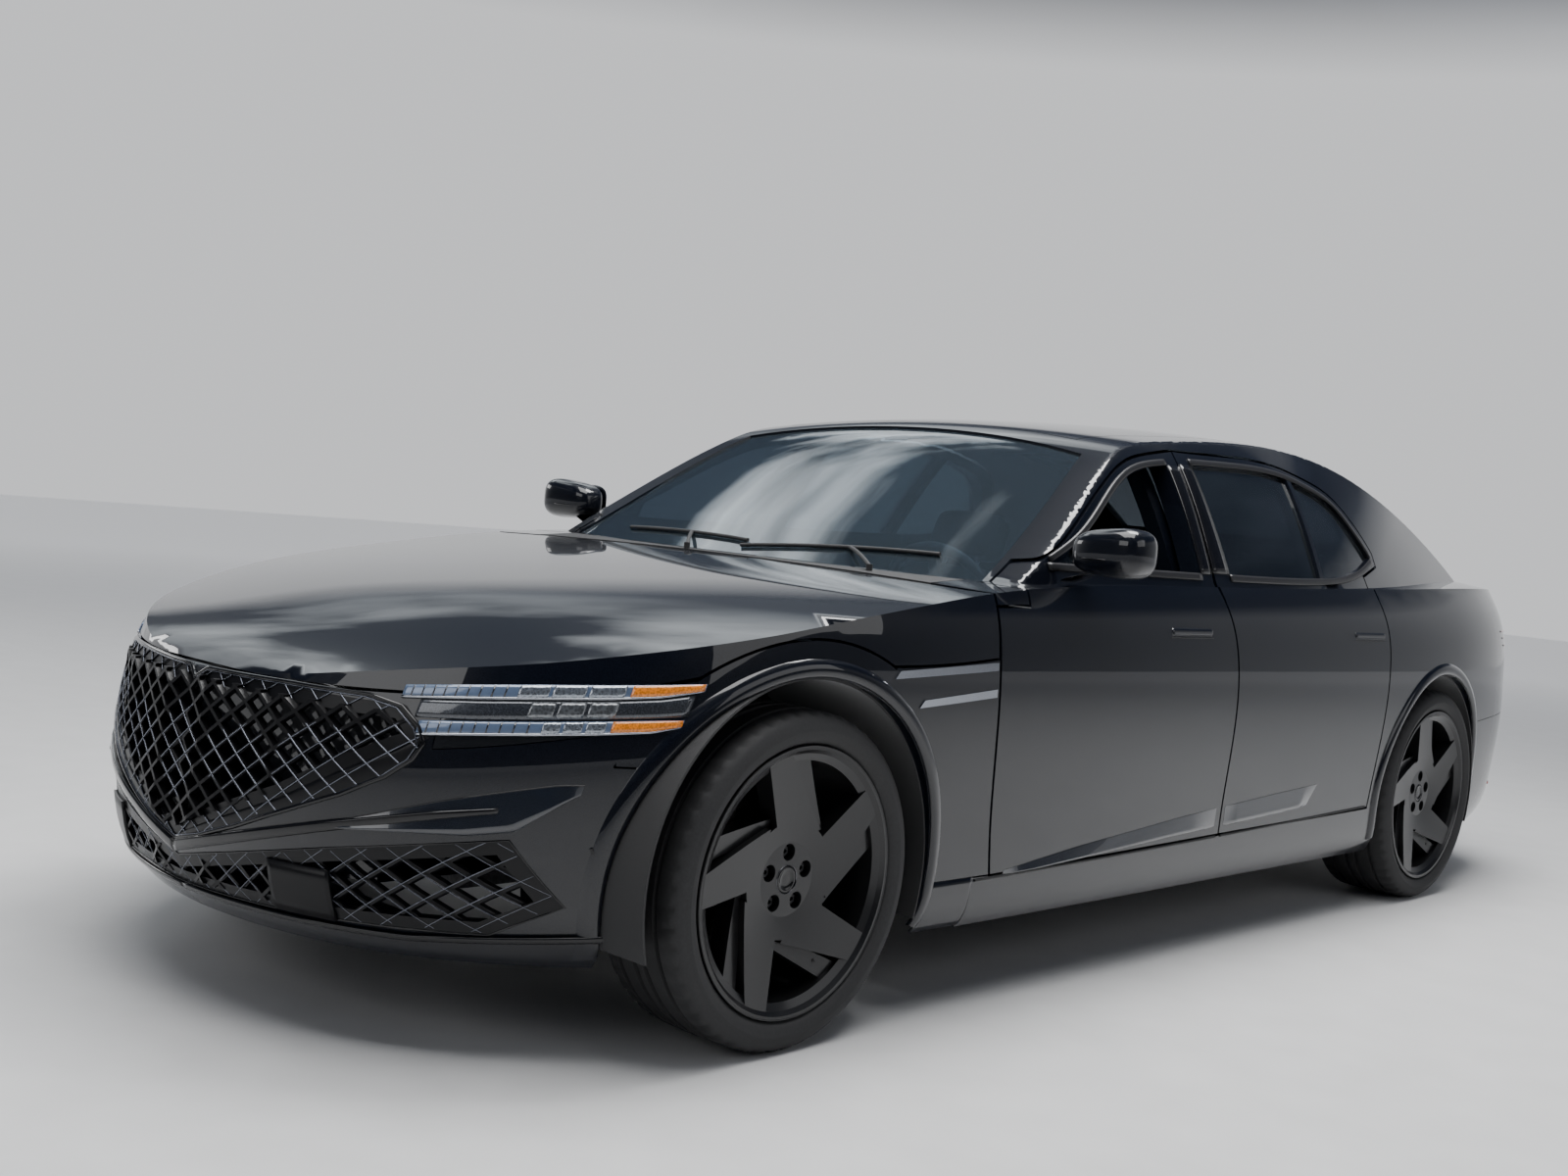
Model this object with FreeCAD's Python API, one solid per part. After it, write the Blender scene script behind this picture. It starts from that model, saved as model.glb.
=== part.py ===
import FreeCAD, Part
import math
import os

from FreeCAD import Matrix, Rotation, Vector

# Full-size four-door sedan. The nose points along -Y, the car's left side is +X, up is +Z.
# The origin is on the ground, at the middle of the length and the width. Millimetres.

# Overall sizes
length = 5275.0
width = 1930.0
height = 1490.0
wheelbase = 3180.0
front_overhang = 885.0
half_length = length / 2
half_width = width / 2
front_axle_y = -half_length + front_overhang
rear_axle_y = front_axle_y + wheelbase

# Walls, gaps and overruns
door_thickness = 66.0
skin_thickness = 24.0
roof_thickness = 30.0
rail_thickness = 62.0
bumper_thickness = 30.0
shut_gap = 8.0
panel_gap = 4.0
fit_clearance = 0.3
run_clearance = 6.0
overrun = 600.0
glass_thickness = 5.0
rail_radius = 48.0

# Wheels and tyres
tyre_radius = 357.0
front_tyre_width = 245.0
rear_tyre_width = 265.0
front_track = 1643.0
rear_track = 1640.0
rim_radius = 285.0
rim_seat_radius = 268.0
barrel_radius = 252.0
hub_radius = 78.0
spindle_radius = 32.0
spindle_depth = 70.0
disc_radius = 184.0
disc_thickness = 30.0
disc_inset = 8.0
lug_circle_radius = 57.15
lug_hole_radius = 18.0
lug_hole_depth = 34.0
spoke_count = 5
spoke_depth = 46.0
cap_radius = 30.0
arch_radius = 425.0
rear_arch_radius = 412.0
arch_inner_x = 470.0
arch_band = 75.0
underside_z = 188.0
steer_axis_x = 745.0
steer_pin_radius = 11.0
knuckle_thickness = 46.0
arm_height = 26.0
rim_margin = 10.0
hub_recess = 26.0
blade_recess = 16.0
star_centre_radius = 125.0
cap_depth = 16.0
pin_gap = 6.0
pin_reach = 40.0
caliper_offset = 118.0
caliper_length = 78.0
caliper_height = 190.0
caliper_wall = 16.0
arm_spread = 150.0
hinge_seat = 16.0
well_wall_x = 560.0
arm_width = 60.0

# Hinges
hinge_pin_radius = 5.0
hinge_arm_half = 5.5
hinge_height = 40.0
hinge_inset = 32.0
hinge_setback = 125.0
edge_relief = 1.0
swing_depth = 100.0
post_inset = 215.0
post_thickness = 50.0
lift_pin_radius = 5.0
lift_eye_radius = 9.0
lift_eye_width = 14.0
lift_pin_seat = 14.0
lift_plate_half = 4.0
hood_lift_drop = 62.0
boot_lift_drop = 95.0
lift_foot = 20.0
lift_room = 5.0
hood_axis_z = 964.0
hood_axis_y = -1177.0
hood_hinge_x = 400.0
hood_gap = 6.0
boot_axis_z = 1104.0
boot_axis_y = 2143.0
boot_hinge_x = 175.0
boot_bracket_y = 2010.0
mesh_inset = 7.0
mesh_thickness = 14.0
mesh_steps = 8
offset_points = 12
pillar_inset = 68.0
pillar_foot_inset = 88.0
pillar_depth = 48.0
pillar_y = -172.0
pillar_length = 55.0
wiper_radius = 5.5
divider_width = 9.0
glass_drop = 8.0
side_glass_inset = 12.0
wiper_lift = 1.5
hanger_half = 10.0
front_cut_y = -1150.0
post_x = 730.0
fender_bracket_y = -1200.0
lamp_bracket_y = -2240.0
tail_bracket_y = 2290.0
roof_bow_ys = (-110.0, 850.0)
muffler_fall = 60.0
lattice_lean = 52.0

# Cabin, structure and mechanical sizes
floor_z = 236.0
trunk_floor_z = 540.0
wall_plate = 22.0
firewall_y = -1130.0
rear_bulkhead_y = 1330.0
rear_frame_y = 1240.0
rear_frame_end_y = 2350.0
tunnel_width = 260.0
tunnel_height = 190.0
engine_width = 520.0
engine_length = 760.0
engine_height = 520.0
engine_rear_y = -1330.0
engine_floor_z = 231.0
frame_rail_x = 400.0
frame_rail_width = 90.0
frame_rail_height = 120.0
frame_rail_z = 330.0
lower_arm_z = 205.0
upper_arm_z = 505.0
liner_thickness = 5.0
exhaust_radius = 34.0
muffler_radius = 95.0
exhaust_z = 285.0
muffler_y = 1760.0
muffler_length = 210.0
muffler_half_width = 340.0
pad_length = 120.0
pad_width = 60.0
pad_height = 12.0
pad_x = 800.0
front_pad_y = -1010.0
rear_pad_y = 820.0

# Seats, dashboard and steering wheel
seat_x = 375.0
seat_width = 480.0
seat_cushion_length = 520.0
seat_cushion_height = 150.0
seat_base_z = 330.0
front_seat_y = -330.0
seat_back_thickness = 150.0
seat_back_height = 640.0
seat_back_lean = 22.0
headrest_width = 280.0
headrest_height = 170.0
headrest_thickness = 110.0
headrest_gap = 36.0
headrest_post_radius = 7.0
bench_y = 500.0
bench_lean = 18.0
bench_width = 1060.0
bench_cushion_length = 500.0
soft_radius = 36.0
dash_front_y = -1130.0
dash_rear_y = -745.0
dash_top_z = 950.0
dash_bottom_z = 640.0
dash_width = 1350.0
dash_radius = 60.0
steering_wheel_radius = 188.0
steering_rim_radius = 15.0
steering_tilt = 66.0
steering_centre = (375.0, -620.0, 880.0)
steering_boss_radius = 62.0
steering_boss_depth = 42.0
column_radius = 34.0
column_length = 240.0

# Mirrors, handles, strips and lamps
mirror_length = 205.0
mirror_height = 138.0
mirror_depth = 150.0
mirror_centre = (1003.0, -800.0, 1090.0)
mirror_radius = 52.0
mirror_foot_radius = 22.0
mirror_foot = (850.0, -800.0, 1010.0)
handle_length = 215.0
handle_height = 24.0
handle_proud = 5.0
handle_z = 893.0
front_handle_y = -400.0
rear_handle_y = 700.0
strip_proud = 3.0
lamp_inner_x = 596.0
lamp_depth = 70.0
grille_bar = 7.0
grille_pitch = 66.0
grille_frame = 26.0

# Shares of the half length (y), the half width (x) and the height (z) that the outlines follow
level_shares = (
    # z, width at this level, nose set-back, tail set-back
    (0.110, 0.915, 0.040, 0.070),
    (0.130, 0.938, 0.028, 0.054),
    (0.150, 0.957, 0.019, 0.036),
    (0.200, 0.972, 0.008, 0.012),
    (0.270, 0.978, 0.001, 0.003),
    (0.345, 0.987, 0.000, 0.000),
    (0.420, 0.996, 0.006, 0.004),
    (0.480, 1.000, 0.018, 0.010),
    (0.550, 0.997, 0.032, 0.014),
    (0.610, 0.983, 0.042, 0.016),
    (0.655, 0.958, 0.048, 0.018),
    (0.700, 0.922, 0.052, 0.024),
    (0.780, 0.850, 0.056, 0.050),
)
nose_plan_shares = ((0.0, 0.0), (0.20, 0.006), (0.40, 0.024), (0.56, 0.052), (0.70, 0.092),
                    (0.81, 0.140), (0.89, 0.188), (0.945, 0.240))
side_plan_shares = ((0.975, -0.640), (0.988, -0.540), (0.994, -0.430), (1.0, -0.200), (1.0, 0.050),
                    (1.0, 0.260), (0.998, 0.420), (0.990, 0.560), (0.968, 0.690))
tail_plan_shares = ((0.925, 0.190), (0.855, 0.115), (0.760, 0.066), (0.620, 0.036), (0.420, 0.014),
                    (0.210, 0.003), (0.0, 0.0))
# y, top at the centre, top at the edge
top_shares = (
    (-1.040, 0.405, 0.385),
    (-1.000, 0.440, 0.420),
    (-0.970, 0.478, 0.452),
    (-0.930, 0.512, 0.478),
    (-0.880, 0.540, 0.503),
    (-0.800, 0.575, 0.542),
    (-0.680, 0.612, 0.588),
    (-0.560, 0.640, 0.622),
    (-0.440, 0.662, 0.650),
    (-0.300, 0.680, 0.668),
    (-0.100, 0.694, 0.678),
    (0.100, 0.702, 0.684),
    (0.300, 0.714, 0.692),
    (0.500, 0.734, 0.700),
    (0.680, 0.754, 0.704),
    (0.800, 0.757, 0.698),
    (0.900, 0.748, 0.686),
    (0.960, 0.738, 0.678),
    (1.040, 0.715, 0.660),
)
top_edge_share = 0.985
# y, roof line at the centre
roof_shares = (
    (-0.560, 0.528),
    (-0.470, 0.606),
    (-0.410, 0.661),
    (-0.363, 0.708),
    (-0.250, 0.829),
    (-0.171, 0.910),
    (-0.138, 0.937),
    (-0.114, 0.950),
    (-0.076, 0.962),
    (0.0, 0.976),
    (0.076, 0.987),
    (0.152, 0.995),
    (0.228, 0.999),
    (0.303, 0.997),
    (0.379, 0.988),
    (0.455, 0.969),
    (0.531, 0.937),
    (0.607, 0.893),
    (0.683, 0.840),
    (0.750, 0.787),
    (0.820, 0.730),
    (0.920, 0.650),
)
roof_crown_share = 0.055
# y, half width of the glasshouse at the belt
belt_plan_shares = ((-0.600, 0.760), (-0.500, 0.806), (-0.420, 0.840), (-0.300, 0.886), (-0.150, 0.916),
                    (0.0, 0.926), (0.200, 0.926), (0.350, 0.908), (0.500, 0.870), (0.650, 0.815),
                    (0.800, 0.745), (0.950, 0.670))
belt_share = 0.690
# height above the belt, inward lean of the side
lean_shares = ((-0.060, -0.030), (0.0, 0.0), (0.060, 0.044), (0.120, 0.094), (0.180, 0.150),
               (0.240, 0.216), (0.310, 0.305), (0.400, 0.430))

# Shares of the wall lines, structure and brackets
rail_find_shares = (0.80, 0.85, 0.30)
side_zone_share = 0.300
low_wall_share = 0.860
low_wall_top_share = 0.635
hood_zone_top_share = 0.90
hood_skin_rear_share = -0.41
lamp_rear_share = -0.700
nose_depth_share = 0.8
nose_rounding_share = 0.6
firewall_top_share = 0.610
shelf_share = 0.660
shelf_rear_share = 0.750
sill_outer_share = 0.900
sill_ends_share = (-0.436, 0.362)
sill_top_share = 0.200
front_post_top_share = 0.615
middle_post_top_share = 0.600
link_heights_share = (0.560, 0.600)
link_outer_share = 0.815
bumper_wall_share = (-0.930, -0.905)
bumper_wall_top_share = 0.440
well_wall_front_share = 0.380
pillar_base_share = 0.926
pillar_foot_share = (-0.130, 0.010)
pillar_head_share = (0.253, 0.233)
pillar_trim_share = (0.592, 0.925)
liner_outer_share = 0.960
hanger_ys_share = (-0.250, 0.250)
fender_front_share = -0.830
fender_step_share = -0.664
door_foot_share = 0.208
keel_front_share = -0.860
tail_room_share = 0.660
tail_lamp_inner_share = 0.665
roof_zone_share = 0.850
windshield_zone_share = 0.655
rear_glass_zone_share = 0.745
cowl_zone_share = (0.600, 0.700)
fender_bracket_share = (0.300, 0.460)
lamp_bracket_share = (0.462, 0.484)
tail_bracket_share = (0.572, 0.598)
roof_bow_share = (0.640, 0.800)
boot_half_share = 0.640
seat_base_shares = (0.8, 0.9)
bench_back_share = 0.96
bench_rest_share = 0.8
round_limit_share = 0.45
handle_round_share = 1 / 2.4
lift_block_shares = (1.6, 2.4)
wiper_points = 4

top_step_shares = (-1.3, -1.0, -0.75, -0.5, -0.25, 0.0, 0.25, 0.5, 0.75, 1.0, 1.3)
roof_step_shares = (-1.0, -0.7, -0.45, -0.2, 0.0, 0.2, 0.45, 0.7, 1.0)

# Outlines seen from the side: y and z shares. Two points make a line, more a smooth curve
front_door_sides_share = (
    ((-0.411, 0.208), (-0.428, 0.380), (-0.4365, 0.540), (-0.438, 0.632)),
    ((-0.438, 0.632), (-0.388, 0.634)),
    ((-0.388, 0.634), (-0.384, 0.692)),
    ((-0.384, 0.692), (-0.303, 0.722), (-0.250, 0.778), (-0.171, 0.861), (-0.125, 0.896),
     (-0.070, 0.917), (-0.0165, 0.931)),
    ((-0.0165, 0.931), (-0.026, 0.800), (-0.0365, 0.690)),
    ((-0.0365, 0.690), (-0.022, 0.604), (-0.012, 0.502), (-0.007, 0.360), (-0.005, 0.220)),
    ((-0.005, 0.220), (-0.411, 0.208)),
)
rear_door_sides_share = (
    ((-0.005, 0.220), (-0.007, 0.360), (-0.012, 0.502), (-0.022, 0.604), (-0.0365, 0.690)),
    ((-0.0365, 0.690), (-0.026, 0.800), (-0.0165, 0.931)),
    ((-0.0165, 0.931), (0.110, 0.938), (0.240, 0.932), (0.300, 0.914), (0.345, 0.892), (0.385, 0.838),
     (0.411, 0.774)),
    ((0.411, 0.774), (0.408, 0.745)),
    ((0.408, 0.745), (0.352, 0.722)),
    ((0.352, 0.722), (0.361, 0.620), (0.3645, 0.515), (0.3650, 0.400), (0.3585, 0.230)),
    ((0.3585, 0.230), (-0.005, 0.220)),
)
front_window_sides_share = (
    ((-0.312, 0.7035), (-0.250, 0.752), (-0.171, 0.836), (-0.125, 0.873), (-0.080, 0.891),
     (-0.044, 0.899)),
    ((-0.044, 0.899), (-0.052, 0.800), (-0.060, 0.7045)),
    ((-0.060, 0.7045), (-0.312, 0.7035)),
)
rear_window_sides_share = (
    ((0.009, 0.9070), (0.110, 0.914), (0.240, 0.909), (0.300, 0.890), (0.340, 0.866), (0.374, 0.812),
     (0.396, 0.762)),
    ((0.396, 0.762), (0.350, 0.738), (0.280, 0.718), (0.210, 0.711), (0.100, 0.707), (0.0, 0.706)),
    ((0.0, 0.706), (0.004, 0.800), (0.009, 0.9070)),
)
rear_divider_sides_share = (
    ((0.2400, 0.930), (0.2500, 0.930)),
    ((0.2500, 0.930), (0.2260, 0.690)),
    ((0.2260, 0.690), (0.2160, 0.690)),
    ((0.2160, 0.690), (0.2400, 0.930)),
)
hood_line_share = ((-1.060, 0.454), (-0.960, 0.466), (-0.870, 0.486), (-0.800, 0.506), (-0.752, 0.528))
hood_strip_line_share = ((-0.575, 0.5385), (-0.520, 0.5405), (-0.430, 0.552))
lamp_bottom_share = ((-1.060, 0.372), (-0.940, 0.402), (-0.870, 0.428), (-0.790, 0.459))
hood_rear_share = ((0.0, -0.4430), (0.90, -0.4430), (0.955, -0.4375), (1.05, -0.4375))
dash_profile_share = ((0.0, 0.30), (0.0, 0.86), (0.25, 1.0), (0.62, 0.98), (0.86, 0.84), (1.0, 0.55),
                      (0.93, 0.10), (0.70, 0.0), (0.20, 0.0))
upper_strip_share = ((-0.577, 0.523), (-0.4405, 0.5345), (-0.4405, 0.547), (-0.571, 0.5345))
lower_strip_share = ((-0.544, 0.480), (-0.4400, 0.4935), (-0.4400, 0.506), (-0.538, 0.4915))
boot_low_share = 0.420
boot_top_share = 0.600
boot_face_share = 0.900
fender_foot_share = 0.400
fender_top_share = 0.668
# x and z shares on the nose, left half, clockwise from the middle of the top
grille_corner_shares = ((0.0, 0.446), (0.035, 0.461), (0.555, 0.457), (0.610, 0.420), (0.330, 0.316),
                        (0.0, 0.228))
lower_grille_corner_shares = ((0.0, 0.200), (0.450, 0.264), (0.740, 0.300), (0.800, 0.215), (0.700, 0.172),
                              (0.0, 0.160))

# Outlines seen from above: x and y shares
windshield_sides_share = (
    ((-0.785, -0.374), (-0.50, -0.404), (0.0, -0.4215), (0.50, -0.404), (0.785, -0.374)),
    ((0.785, -0.374), (0.728, -0.260), (0.650, -0.155)),
    ((0.650, -0.155), (0.35, -0.141), (0.0, -0.136), (-0.35, -0.141), (-0.650, -0.155)),
    ((-0.650, -0.155), (-0.728, -0.260), (-0.785, -0.374)),
)
rear_glass_sides_share = (
    ((-0.545, 0.470), (0.0, 0.455), (0.545, 0.470)),
    ((0.545, 0.470), (0.600, 0.600), (0.635, 0.710)),
    ((0.635, 0.710), (0.0, 0.738), (-0.635, 0.710)),
    ((-0.635, 0.710), (-0.600, 0.600), (-0.545, 0.470)),
)
roof_panel_sides_share = (
    ((-0.560, -0.118), (0.0, -0.104), (0.560, -0.118)),
    ((0.560, -0.118), (0.585, 0.150), (0.545, 0.445)),
    ((0.545, 0.445), (0.0, 0.430), (-0.545, 0.445)),
    ((-0.545, 0.445), (-0.585, 0.150), (-0.560, -0.118)),
)
boot_sides_share = (
    ((-0.660, 0.783), (0.0, 0.790), (0.660, 0.783)),
    ((0.660, 0.783), (0.655, 0.900), (0.640, 1.060)),
    ((0.640, 1.060), (-0.640, 1.060)),
    ((-0.640, 1.060), (-0.655, 0.900), (-0.660, 0.783)),
)
cowl_sides_share = (
    ((-0.755, -0.4365), (0.0, -0.4365), (0.755, -0.4365)),
    ((0.755, -0.4365), (0.755, -0.385)),
    ((0.755, -0.385), (0.50, -0.408), (0.0, -0.4255), (-0.50, -0.408), (-0.755, -0.385)),
    ((-0.755, -0.385), (-0.755, -0.4365)),
)
# x and y shares of each wiper: pivot, elbow, then the ends of its blade
wiper_shares = (
    ((0.520, -0.4200), (0.330, -0.3694), (0.600, -0.352), (-0.020, -0.392)),
    ((-0.120, -0.4330), (-0.270, -0.3746), (-0.020, -0.382), (-0.560, -0.366)),
)
rear_bumper_sides_share = (
    ((0.690, 0.400), (0.860, 0.412), (1.060, 0.412)),
    ((1.060, 0.412), (1.060, 0.100)),
    ((1.060, 0.100), (0.690, 0.100)),
    ((0.690, 0.100), (0.690, 0.400)),
)
tail_lamp_sides_share = (
    ((0.868, 0.560), (1.060, 0.560)),
    ((1.060, 0.560), (1.060, 0.632)),
    ((1.060, 0.632), (0.850, 0.622)),
    ((0.850, 0.622), (0.868, 0.560)),
)

# Radius shares of the rim seat and angles from the arm's middle, clockwise from outside
arm_lean = -17.0
arm_corner_shares = [(0.30, 20.0), (0.47, -7.0), (1.01, -7.2), (1.01, 7.2), (0.49, 57.0)]
blade_corner_shares = [(0.43, 59.5), (1.01, 10.5), (1.01, 21.5), (0.53, 64.5)]
# Height shares of the sidewall and width shares of the half section, above the bead
bead_height_share = 0.20
tyre_profile_share = ((0.215, 0.86), (0.35, 0.97), (0.55, 1.0), (0.80, 0.96), (0.93, 0.86), (0.985, 0.70),
                      (1.0, 0.45))
hinge_height_share = (0.370, 0.570)
front_door_axis_share = -0.4375
rear_door_axis_share = -0.0115
front_divider_share = -0.272
front_post_share = (-0.470, -0.385)
middle_post_share = (-0.010, 0.070)
frame_rear_edge_share = ((-0.0365, 0.690), (-0.026, 0.800), (-0.0165, 0.931), (-0.0145, 0.960))
tip_corners_share = ((-0.0243, 0.624), (-0.0319, 0.688), (-0.0317, 0.725), (-0.0540, 0.725),
                     (-0.0540, 0.624))


def nose(y_share):
    return y_share * half_length


def across(x_share):
    return x_share * half_width


def up(z_share):
    return z_share * height


def solid_of(shape):
    """The largest solid of a boolean result."""
    solids = sorted(shape.Solids, key=lambda one: one.Volume)
    return solids[-1]


def tidy(shape):
    """The solids of a boolean result as one shape, with specks dropped."""
    speck = skin_thickness ** 3
    solids = [one for one in shape.Solids if one.Volume > speck]
    return solids[0] if len(solids) == 1 else Part.makeCompound(solids)


def spline_edge(points, start=None, end=None):
    curve = Part.BSplineCurve()
    if start is None:
        curve.interpolate(Points=points)
    else:
        curve.interpolate(Points=points, InitialTangent=start, FinalTangent=end)
    return curve.toShape()


def mirrored(shape):
    return shape.mirror(Vector(0, 0, 0), Vector(1, 0, 0))


def both(shape):
    """A shape and its mirror image, as one compound."""
    return Part.makeCompound(shape.Solids + mirrored(shape).Solids)


def waterline(level, side_inset, end_inset):
    """Points of the plan outline of the lower body at one height, past the middle at both ends."""
    z_share, width_share, nose_share, tail_share = level
    inset_width = half_width * width_share - side_inset
    front_y = nose(nose_share - 1) + end_inset
    rear_y = nose(1 - tail_share) - end_inset
    points = [Vector(x * inset_width, front_y + y * half_length, up(z_share)) for x, y in nose_plan_shares]
    points += [Vector(x * inset_width, y * half_length, up(z_share)) for x, y in side_plan_shares]
    points += [Vector(x * inset_width, rear_y - y * half_length, up(z_share)) for x, y in tail_plan_shares]
    past_nose = [Vector(-point.x, point.y, point.z) for point in reversed(points[1:3])]
    past_tail = [Vector(-point.x, point.y, point.z) for point in reversed(points[-3:-1])]
    return past_nose + points + past_tail


def grid_surface(rows):
    surface = Part.BSplineSurface()
    surface.interpolate(rows)
    return surface.toShape()


def top_slab(drop):
    """Everything under the hood, shoulder and deck surface."""
    rows = []
    for y, centre, edge in top_shares:
        row = []
        for step in top_step_shares:
            fall = (centre - edge) * (step / top_edge_share) ** 2
            row.append(Vector(across(step), nose(y), up(centre - fall) - drop))
        rows.append(row)
    return grid_surface(rows).extrude(Vector(0, 0, -height))


def left_half():
    return box((0, width), (-length, length), (0, height * 2))


def hull(side_inset, end_inset, drop, floor=0):
    """The left half of the lower body, each face moved in by its inset, above a floor height."""
    wall = grid_surface([waterline(level, side_inset, end_inset) for level in level_shares])
    block = box((0, width), (-length, length), (max(floor, underside_z), up(level_shares[-1][0]) - shut_gap))
    pieces, _ = block.generalFuse([wall])
    body = min(pieces.Solids, key=lambda one: one.BoundBox.XMax + one.BoundBox.YLength)
    return solid_of(body.common(top_slab(drop)))


def side_surface(inset):
    rows = []
    for y, half in belt_plan_shares:
        row = []
        for rise, lean in lean_shares:
            row.append(Vector(across(half - lean) - inset, nose(y), up(belt_share + rise)))
        rows.append(row)
    return grid_surface(rows)


def side_slab(inset):
    """Everything inward of the leaning side of the glasshouse, past the middle of the car."""
    return side_surface(inset).extrude(Vector(-width, 0, 0))


def roof_surface(drop):
    rows = []
    for y, centre in roof_shares:
        row = []
        for step in roof_step_shares:
            row.append(Vector(across(step), nose(y), up(centre - roof_crown_share * step ** 2) - drop))
        rows.append(row)
    return grid_surface(rows)


def roof_slab(drop):
    return roof_surface(drop).extrude(Vector(0, 0, -height))


def is_rail(edge):
    """The long edge between roof and side, on either side of the car."""
    bounds = edge.BoundBox
    long_share, high_share, wide_share = rail_find_shares
    long_enough = bounds.YLength > half_length * long_share
    return long_enough and bounds.ZMax > up(high_share) and abs(bounds.Center.x) > across(wide_share)


def glasshouse(side_inset, drop, radius, foot):
    """The left half of the upper body, from a little under the shoulder to the roof."""
    body = solid_of(side_slab(side_inset).common(roof_slab(drop)).common(left_half()))
    if radius:
        rails = [edge for edge in body.Edges if is_rail(edge)]
        body = solid_of(body.makeFillet(radius, rails))
    return solid_of(body.cut(top_slab(foot)))


def box(xs, ys, zs):
    low, high = Vector(xs[0], ys[0], zs[0]), Vector(xs[1], ys[1], zs[1])
    size = high - low
    return Part.makeBox(size.x, size.y, size.z, low)


def rod(radius, start, end):
    axis = end - start
    return Part.makeCylinder(radius, axis.Length, start, axis)


def outline(sides, place):
    """A closed wire from a list of sides; two points make a line, more a spline through them."""
    edges = []
    for side in sides:
        points = [place(*pair) for pair in side]
        if len(points) == 2:
            edges.append(Part.LineSegment(points[0], points[1]).toShape())
        else:
            edges.append(spline_edge(points))
    return Part.Wire(Part.__sortEdges__(edges))


def side_place(y_share, z_share):
    return Vector(0, nose(y_share), up(z_share))


def plan_place(x_share, y_share):
    return Vector(across(x_share), nose(y_share), 0)


def grown(wire, distance):
    """A flat face inside a wire, moved outward by a distance, or inward if it is negative."""
    face = Part.Face(wire)
    if not distance:
        return face
    edges = []
    for edge in face.makeOffset2D(distance).Edges:
        if edge.Curve.TypeId == "Part::GeomOffsetCurve":
            count = offset_points
            points = edge.discretize(count)
            edges.append(spline_edge(points))
        else:
            edges.append(edge)
    return Part.Face(Part.Wire(Part.__sortEdges__(edges)))


def side_prism(sides, distance=0, near=0, far=None):
    """The outline seen from the side, carried across the left half of the car."""
    face = grown(outline(sides, side_place), distance)
    face.translate(Vector(near, 0, 0))
    return face.extrude(Vector((width if far is None else far) - near, 0, 0))


def plan_prism(sides, distance=0):
    face = grown(outline(sides, plan_place), distance)
    return face.extrude(Vector(0, 0, height * 2))


def door_zone(sides, distance):
    """The room of a side door seen from the side, as far in as the inner face of its wall."""
    inner = side_slab(rail_thickness + panel_gap / 2 + distance + shut_gap / 2)
    low_inner = box((0, across(low_wall_share) - distance), (-length, length), (0, up(low_wall_top_share)))
    return side_prism(sides, distance, across(side_zone_share)).cut([inner, low_inner])


def lean_at(rise):
    """The inward lean of the glasshouse's side at a height above the belt."""
    for below, above in zip(lean_shares, lean_shares[1:]):
        if below[0] <= rise <= above[0]:
            part = (rise - below[0]) / (above[0] - below[0])
            return below[1] + (above[1] - below[1]) * part
    return lean_shares[-1][1]


def swing_room(axis_point, edge_side):
    """The inner corner along a door frame's rear edge that would touch its neighbour as it opens."""
    sections = []
    for y_share, z_share in edge_side:
        outer_x = across(pillar_base_share - lean_at(z_share - belt_share))
        edge_y = nose(y_share) - edge_relief
        inner_x = outer_x - swing_depth
        slope = (axis_point.x - outer_x + rail_thickness) / (edge_y - axis_point.y)
        corners = [Vector(outer_x + swing_depth, edge_y + swing_depth * slope, up(z_share)),
                   Vector(inner_x, edge_y - swing_depth * slope, up(z_share)),
                   Vector(inner_x, edge_y + swing_depth, up(z_share)),
                   Vector(outer_x + swing_depth, edge_y + swing_depth, up(z_share))]
        sections.append(Part.makePolygon(corners + corners[:1]))
    return Part.makeLoft(sections, True, True)


def ring_rod(axle_y, radius, near=0.0):
    return rod(radius, Vector(near, axle_y, tyre_radius), Vector(width, axle_y, tyre_radius))


def prism_of(sides, place, way):
    return Part.Face(outline(sides, place)).extrude(way)


def hood_region(gap):
    """Everything above the hood's cut line on the left half, from the nose to the cowl."""
    rear_top = (hood_strip_line_share[-1][0], hood_zone_top_share)
    front_top = (hood_line_share[0][0], hood_zone_top_share)
    sides = (
        hood_line_share,
        (hood_line_share[-1], hood_strip_line_share[0]),
        hood_strip_line_share,
        (hood_strip_line_share[-1], rear_top),
        (rear_top, front_top),
        (front_top, hood_line_share[0]),
    )
    region = side_prism(sides, -gap)
    above = box((0, width), (nose(hood_line_share[-1][0]) + gap, nose(hood_strip_line_share[0][0]) - gap),
                (up(hood_strip_line_share[0][1]) - arch_band, height))
    region = region.fuse(above).cut(ring_rod(front_axle_y, arch_radius + arch_band + gap))
    corners = hood_rear_share + ((1.05, 0.0), (0.0, 0.0))
    rear = prism_of(polygon_sides(corners), plan_place, Vector(0, 0, height * 2))
    rear.translate(Vector(0, -gap, 0))
    return region.cut(rear)


def lamp_region(gap):
    """The band between the hood's edge and the bumper, ahead of the arch lip, on the left side."""
    rear_top = (lamp_rear_share, hood_line_share[-1][1])
    rear_low = (lamp_rear_share, lamp_bottom_share[-1][1])
    sides = (
        hood_line_share,
        (hood_line_share[-1], rear_top),
        (rear_top, rear_low),
        (rear_low, lamp_bottom_share[-1]),
        lamp_bottom_share,
        (lamp_bottom_share[0], hood_line_share[0]),
    )
    region = side_prism(sides, -gap, lamp_inner_x + gap)
    return region.cut(ring_rod(front_axle_y, arch_radius + arch_band + gap))


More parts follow.
